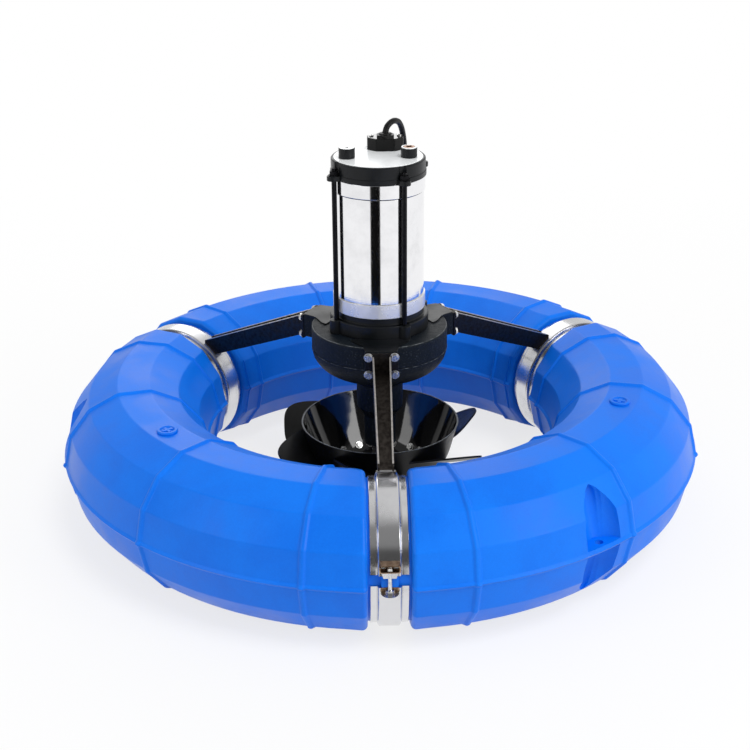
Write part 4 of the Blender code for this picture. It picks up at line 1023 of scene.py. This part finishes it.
def addGlandBox(look):
    base, roof = look["base"], look["base"] + look["boxHeight"]
    middleX, middleY = look["box"]
    outline = [(middleX + a * look["boxLength"], middleY + b * look["boxDepth"]) for a, b in look["boxShape"]]
    soft = rounded(outline, look["boxCorner"], 3, True)
    piece("glandBox", prism(soft, base + equator, roof + equator, look["boxEdge"]), "blade",
          ["gland_box"])
    wide, deep = look["lidShare"]
    lid = [(middleX + (x - middleX) * wide, middleY + (y - middleY) * deep) for x, y in soft]
    lidTop = roof + look["lidRise"] + equator
    piece("glandBoxLid", prism(lid, roof - look["lidSunk"] + equator, lidTop, look["lidEdge"]), "enamel")
    low, high, rim = base + look["topLow"], base + look["topHigh"], look["topRadius"]
    tops = [shifted(lathe([(inside, high), (rim, high), (rim, low), (inside, low)], 48), *look[name], 0)
            for name, inside in look["topInsides"].items()]
    piece("plugTops", joinMeshes(tops), "nearWhite")
    nut = hexNut(look["glandRadius"], lidTop, lidTop + look["glandTall"], look["glandChamfer"])
    sleeve = ringOf([(r, lidTop + h) for r, h in look["sleeve"]], 0.001, 48, rise=0)
    nut = carve(nut, [drum(look["cableHole"], lidTop - 0.01, lidTop + 0.02, 48)])
    piece("glandNut", shifted(joinMeshes([nut, sleeve]), *look["gland"], 0), "nylon",
          ["gland_nut"])
    screw = hexHole(*look["screw"], roof, roof + look["screwTall"])
    screws = [shifted(screw, middleX + side * look["screwSide"], middleY + look["screwBack"], equator)
              for side in (-1, 1)]
    piece("glandBoxScrews", joinMeshes(screws), "zinc")
    print("cap fitted")


addPlugs(fittingLook)
addGlandBox(fittingLook)


# Impeller, with heights from the float's equator
bowlLook = {"curve": ((0.1645, 0.0195), (0.1615, 0.010), (0.1560, -0.010), (0.148, -0.040), (0.139, -0.062),
                      (0.127, -0.080), (0.098, -0.108), (0.060, -0.121), (0.030, -0.123)),
            "inside": ((0.1615, 0.0192), (0.1525, -0.006), (0.1415, -0.034), (0.1285, -0.063),
                       (0.1130, -0.091), (0.0920, -0.1125), (0.0600, -0.1190), (0.0310, -0.1200)),
            "hub": ((0.030, -0.120), (0.030, -0.070), (0.0173, -0.070), (0.0173, -0.123)), "hubEdge": 0.003,
            "skinOut": (0.0003, -0.0003), "skinIn": (-0.0008, 0.0002),
            "rimHighlight": ((-0.0028, -0.0002), (-0.0026, 0.0004), (-0.0006, 0.0004), (-0.0002, -0.0006))}
bladeLook = {"count": 6, "phase": 22.95, "sweep": 41.5, "rise": 3, "tilt": 60.9, "thick": 0.004,
             "edge": 0.0011, "middle": 0.1497, "reach": 0.0869, "chord": 0.0671, "height": -0.0365,
             "square": 3.4, "points": 56, "rooted": 0.0012, "above": 0.06, "below": -0.124,
             "boltReach": 0.1128, "boltHeight": -0.0900, "boltLean": -61,
             "boltSides": (-9, 17, 30), "boltHead": (0.0060, 0.0006, 0.0052),
             "washer": (0.0080, -0.001, 0.0010)}


def addBowl(look):
    outer, inner = smooth(look["curve"], 4), smooth(look["inside"], 4)
    hub = rounded([inner[-1], *look["hub"], outer[-1]], look["hubEdge"], 3)
    profile = outer + hub[1:-1][::-1] + inner[::-1]
    piece("impellerBowl", lathe(profile, 144), "enamel", ["impeller_bowl"], "output", 40)
    skin = [p + Vector(look["skinOut"]) for p in outer]
    skin += [p + Vector(look["skinIn"]) for p in reversed(outer)]
    piece("bowlOutside", lathe(skin, 144), "blade", body="output")


def addRimHighlight(look):
    # a painted highlight: a lighter, patchy line along the bowl's rim
    radius, height = look["curve"][0]
    line = [(radius + r, height + h) for r, h in look["rimHighlight"]]
    piece("bowlRimHighlight", lathe(line, 144), "paleStrip", body="output")


def addBlades(look):
    # paddles with a rounded outline, cut off where they meet the bowl
    outline = []
    for i in range(look["points"]):
        angle = fullTurn * i / look["points"]
        across, up = [math.copysign(abs(share) ** (2 / look["square"]), share)
                      for share in (math.cos(angle), math.sin(angle))]
        outline.append((look["reach"] * across, look["chord"] * up))
    plate = prism(outline, -look["thick"] / 2, look["thick"] / 2, look["edge"])
    stand = (slide(look["middle"], 0, look["height"] + equator) @ spin(math.radians(look["sweep"]))
             @ spin(-math.radians(look["rise"]), "Y") @ spin(math.radians(look["tilt"] + 90), "X"))
    inside = [(r - look["rooted"], h) for r, h in smooth(bowlLook["curve"], 4)]
    above = bowlLook["curve"][0][1] + look["above"]
    clear = [(0, above), (bowlLook["curve"][0][0] - look["rooted"], above)] + inside + [(0, look["below"])]
    blade = carve(movedMesh(plate, stand), [lathe(clear, 144, False)])
    for i in range(look["count"]):
        turn = math.radians(look["phase"] + 60 * i)
        piece(f"impellerBlade{i + 1}", turned(blade, turn), "blade",
              [f"impeller_blade_{i + 1}"], "output")


def addBladeBolts(look):
    # three bright bolt heads inside the wall for each blade
    bolt = joinMeshes([hexNut(*look["boltHead"]), drum(*look["washer"], 24)])
    lean = (slide(look["boltReach"], 0, equator + look["boltHeight"])
            @ spin(math.radians(look["boltLean"]), "Y"))
    bolts = [movedMesh(bolt, spin(math.radians(look["phase"] + 60 * i + side)) @ lean)
             for i in range(look["count"]) for side in look["boltSides"]]
    piece("bladeBolts", joinMeshes(bolts), "zinc", body="output")


addBowl(bowlLook)
addBlades(bladeLook)
addRimHighlight(bowlLook)
addBladeBolts(bladeLook)
print("impeller turned")


# Carried-over CAD pieces
carried = {"gear": ["ring_gear", "sun_gear", "planet_gear_1", "planet_gear_2", "planet_gear_3",
                    "planet_carrier", "rotor_shaft", "output_shaft", "shaft_bearing_upper",
                    "shaft_bearing_lower",
                    "rotor_bearing_upper", "rotor_bearing_lower"],
           "core": ["stator_core", "rotor_core"], "copper": ["stator_winding_upper", "stator_winding_lower"],
           "rubber": ["shaft_seal"], "zinc": ["impeller_nut"]}
for finish, names in carried.items():
    for name in names:
        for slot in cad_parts[name].material_slots:
            slot.material = finishes[finish]
print("inner pieces finished")


# Studio
stageLook = {"floorSize": 60, "floor": 0.86, "floorRough": 0.8, "floorToCamera": 0.76,
             "floorToGloss": 0.85, "clearFrom": 0.9, "clearBy": 2.6, "worldLight": 0.52,
             "glossBack": 0.95, "backEdge": 0.25, "flagMiddle": -99.5,
             "flagHalf": 11.9, "flagNear": 1.02, "flagFar": 4.6, "flagHeight": 0.003, "flagShade": 0.004}
# what glossy rays see by height: a dark room in front, paler above, and a white ceiling
glossRamp = ((0.05, 0.10), (0.42, 0.10), (0.56, 0.34), (0.90, 0.34), (0.97, 0.95))
lampAim = Vector((0, 0, 0.2))
# each lamp by its kind, place, power and size
lampLook = {"sun": ("SUN", (0.9, -1.1, 3.0), 1.45, 0.45), "right": ("AREA", (2.55, -1.92, 1.65), 30, 1.5),
            "left": ("AREA", (-2.60, -1.82, 1.65), 12, 1.3), "back": ("AREA", (-0.4, 3.0, 1.9), 16, 2.0)}


def rayMix(bench, first, second, camera, gloss):
    # the first shader, with shares of the second for camera rays and for glossy rays
    seen, mirrored, passed = [bench.node("ShaderNodeLightPath", output=f"Is {kind} Ray")
                              for kind in ("Camera", "Glossy", "Transmission")]
    share = seen * camera + mirrored * gloss + passed * gloss
    return bench.node("ShaderNodeMixShader", None, {0: share, 1: first, 2: second})


def floorMaterial(look):
    bench = Bench("paleFloor", Base_Color=(look["floor"],) * 3 + (1,), Roughness=look["floorRough"])
    # further out, the floor clears to the white of the background
    reach = bench.node("ShaderNodeVectorMath", {"operation": "LENGTH"},
                       {0: bench.node("ShaderNodeNewGeometry", output="Position")}, output="Value")
    clear = bench.node("ShaderNodeMapRange", None,
                       {"Value": reach, "From Min": look["clearFrom"], "From Max": look["clearBy"],
                        "To Min": look["floorToCamera"]})
    glow = bench.node("ShaderNodeEmission")
    return bench.close(rayMix(bench, bench.surface, glow, clear, look["floorToGloss"]))


def addStage(look):
    bpy.ops.mesh.primitive_plane_add(size=look["floorSize"], location=(0, 0, 0))
    floor = bpy.context.object
    floor.name = "studioFloor"
    floor.data.materials.append(floorMaterial(look))
    # a black flag on the floor in front, out of the picture: it gives the barrel its dark stripe
    middle, half = math.radians(look["flagMiddle"]), math.radians(look["flagHalf"])
    near, far = look["flagNear"], look["flagFar"]
    corners = [(near, middle - half), (far, middle - half), (far, middle + half), (near, middle + half)]
    work, height = bmesh.new(), look["flagHeight"]
    work.faces.new([work.verts.new((r * math.cos(a), r * math.sin(a), height)) for r, a in corners])
    flag = placed("blackFlag", meshFrom(work))
    shade = (look["flagShade"],) * 3 + (1,)
    flag.data.materials.append(Bench("flagBlack", Base_Color=shade, Specular_IOR_Level=0).material)
    flag.visible_camera = False
    flag.visible_diffuse = False
    flag.visible_shadow = False


def addLamps(look):
    for name, (kind, spot, power, size) in look.items():
        light = bpy.data.lights.new(name, kind)
        light.energy = power
        if kind == "SUN":
            light.angle = size
        else:
            light.size = size
        lamp = placed(name, light)
        lamp.visible_glossy = kind != "SUN"
        lamp.location = spot
        lamp.rotation_euler = (lampAim - Vector(spot)).to_track_quat("-Z", "Y").to_euler()


def addWorld(look):
    # white to the camera; glossy rays see a white ceiling, a white back and a dark room in front
    world = bpy.data.worlds.new("studioWorld")
    bpy.context.scene.world = world
    bench = Bench("studioWorld", world, "Background", Color=(1, 1, 1, 1), Strength=look["worldLight"])
    where = bench.node("ShaderNodeTexCoord", output="Generated")
    level = bench.node("ShaderNodeValToRGB", {"stops": glossRamp}, {0: where.axis("Z")})
    behind = where.axis("Y").part(-look["backEdge"], look["backEdge"])
    strength = bench.node("ShaderNodeMix", {"data_type": "FLOAT"},
                          {"Factor": behind, "A": level, "B": look["glossBack"]}, output="Result")
    mirrored = bench.node("ShaderNodeBackground", None, {"Strength": strength})
    clear = bench.node("ShaderNodeBackground", None, {"Color": (1, 1, 1, 1)})
    gloss = rayMix(bench, bench.surface, mirrored, 0, 1)
    bench.close(rayMix(bench, gloss, clear, 1, 0), "World Output")


addStage(stageLook)
addLamps(lampLook)
addWorld(stageLook)
bpy.context.scene.view_settings.view_transform = "Standard"
print("studio lit")
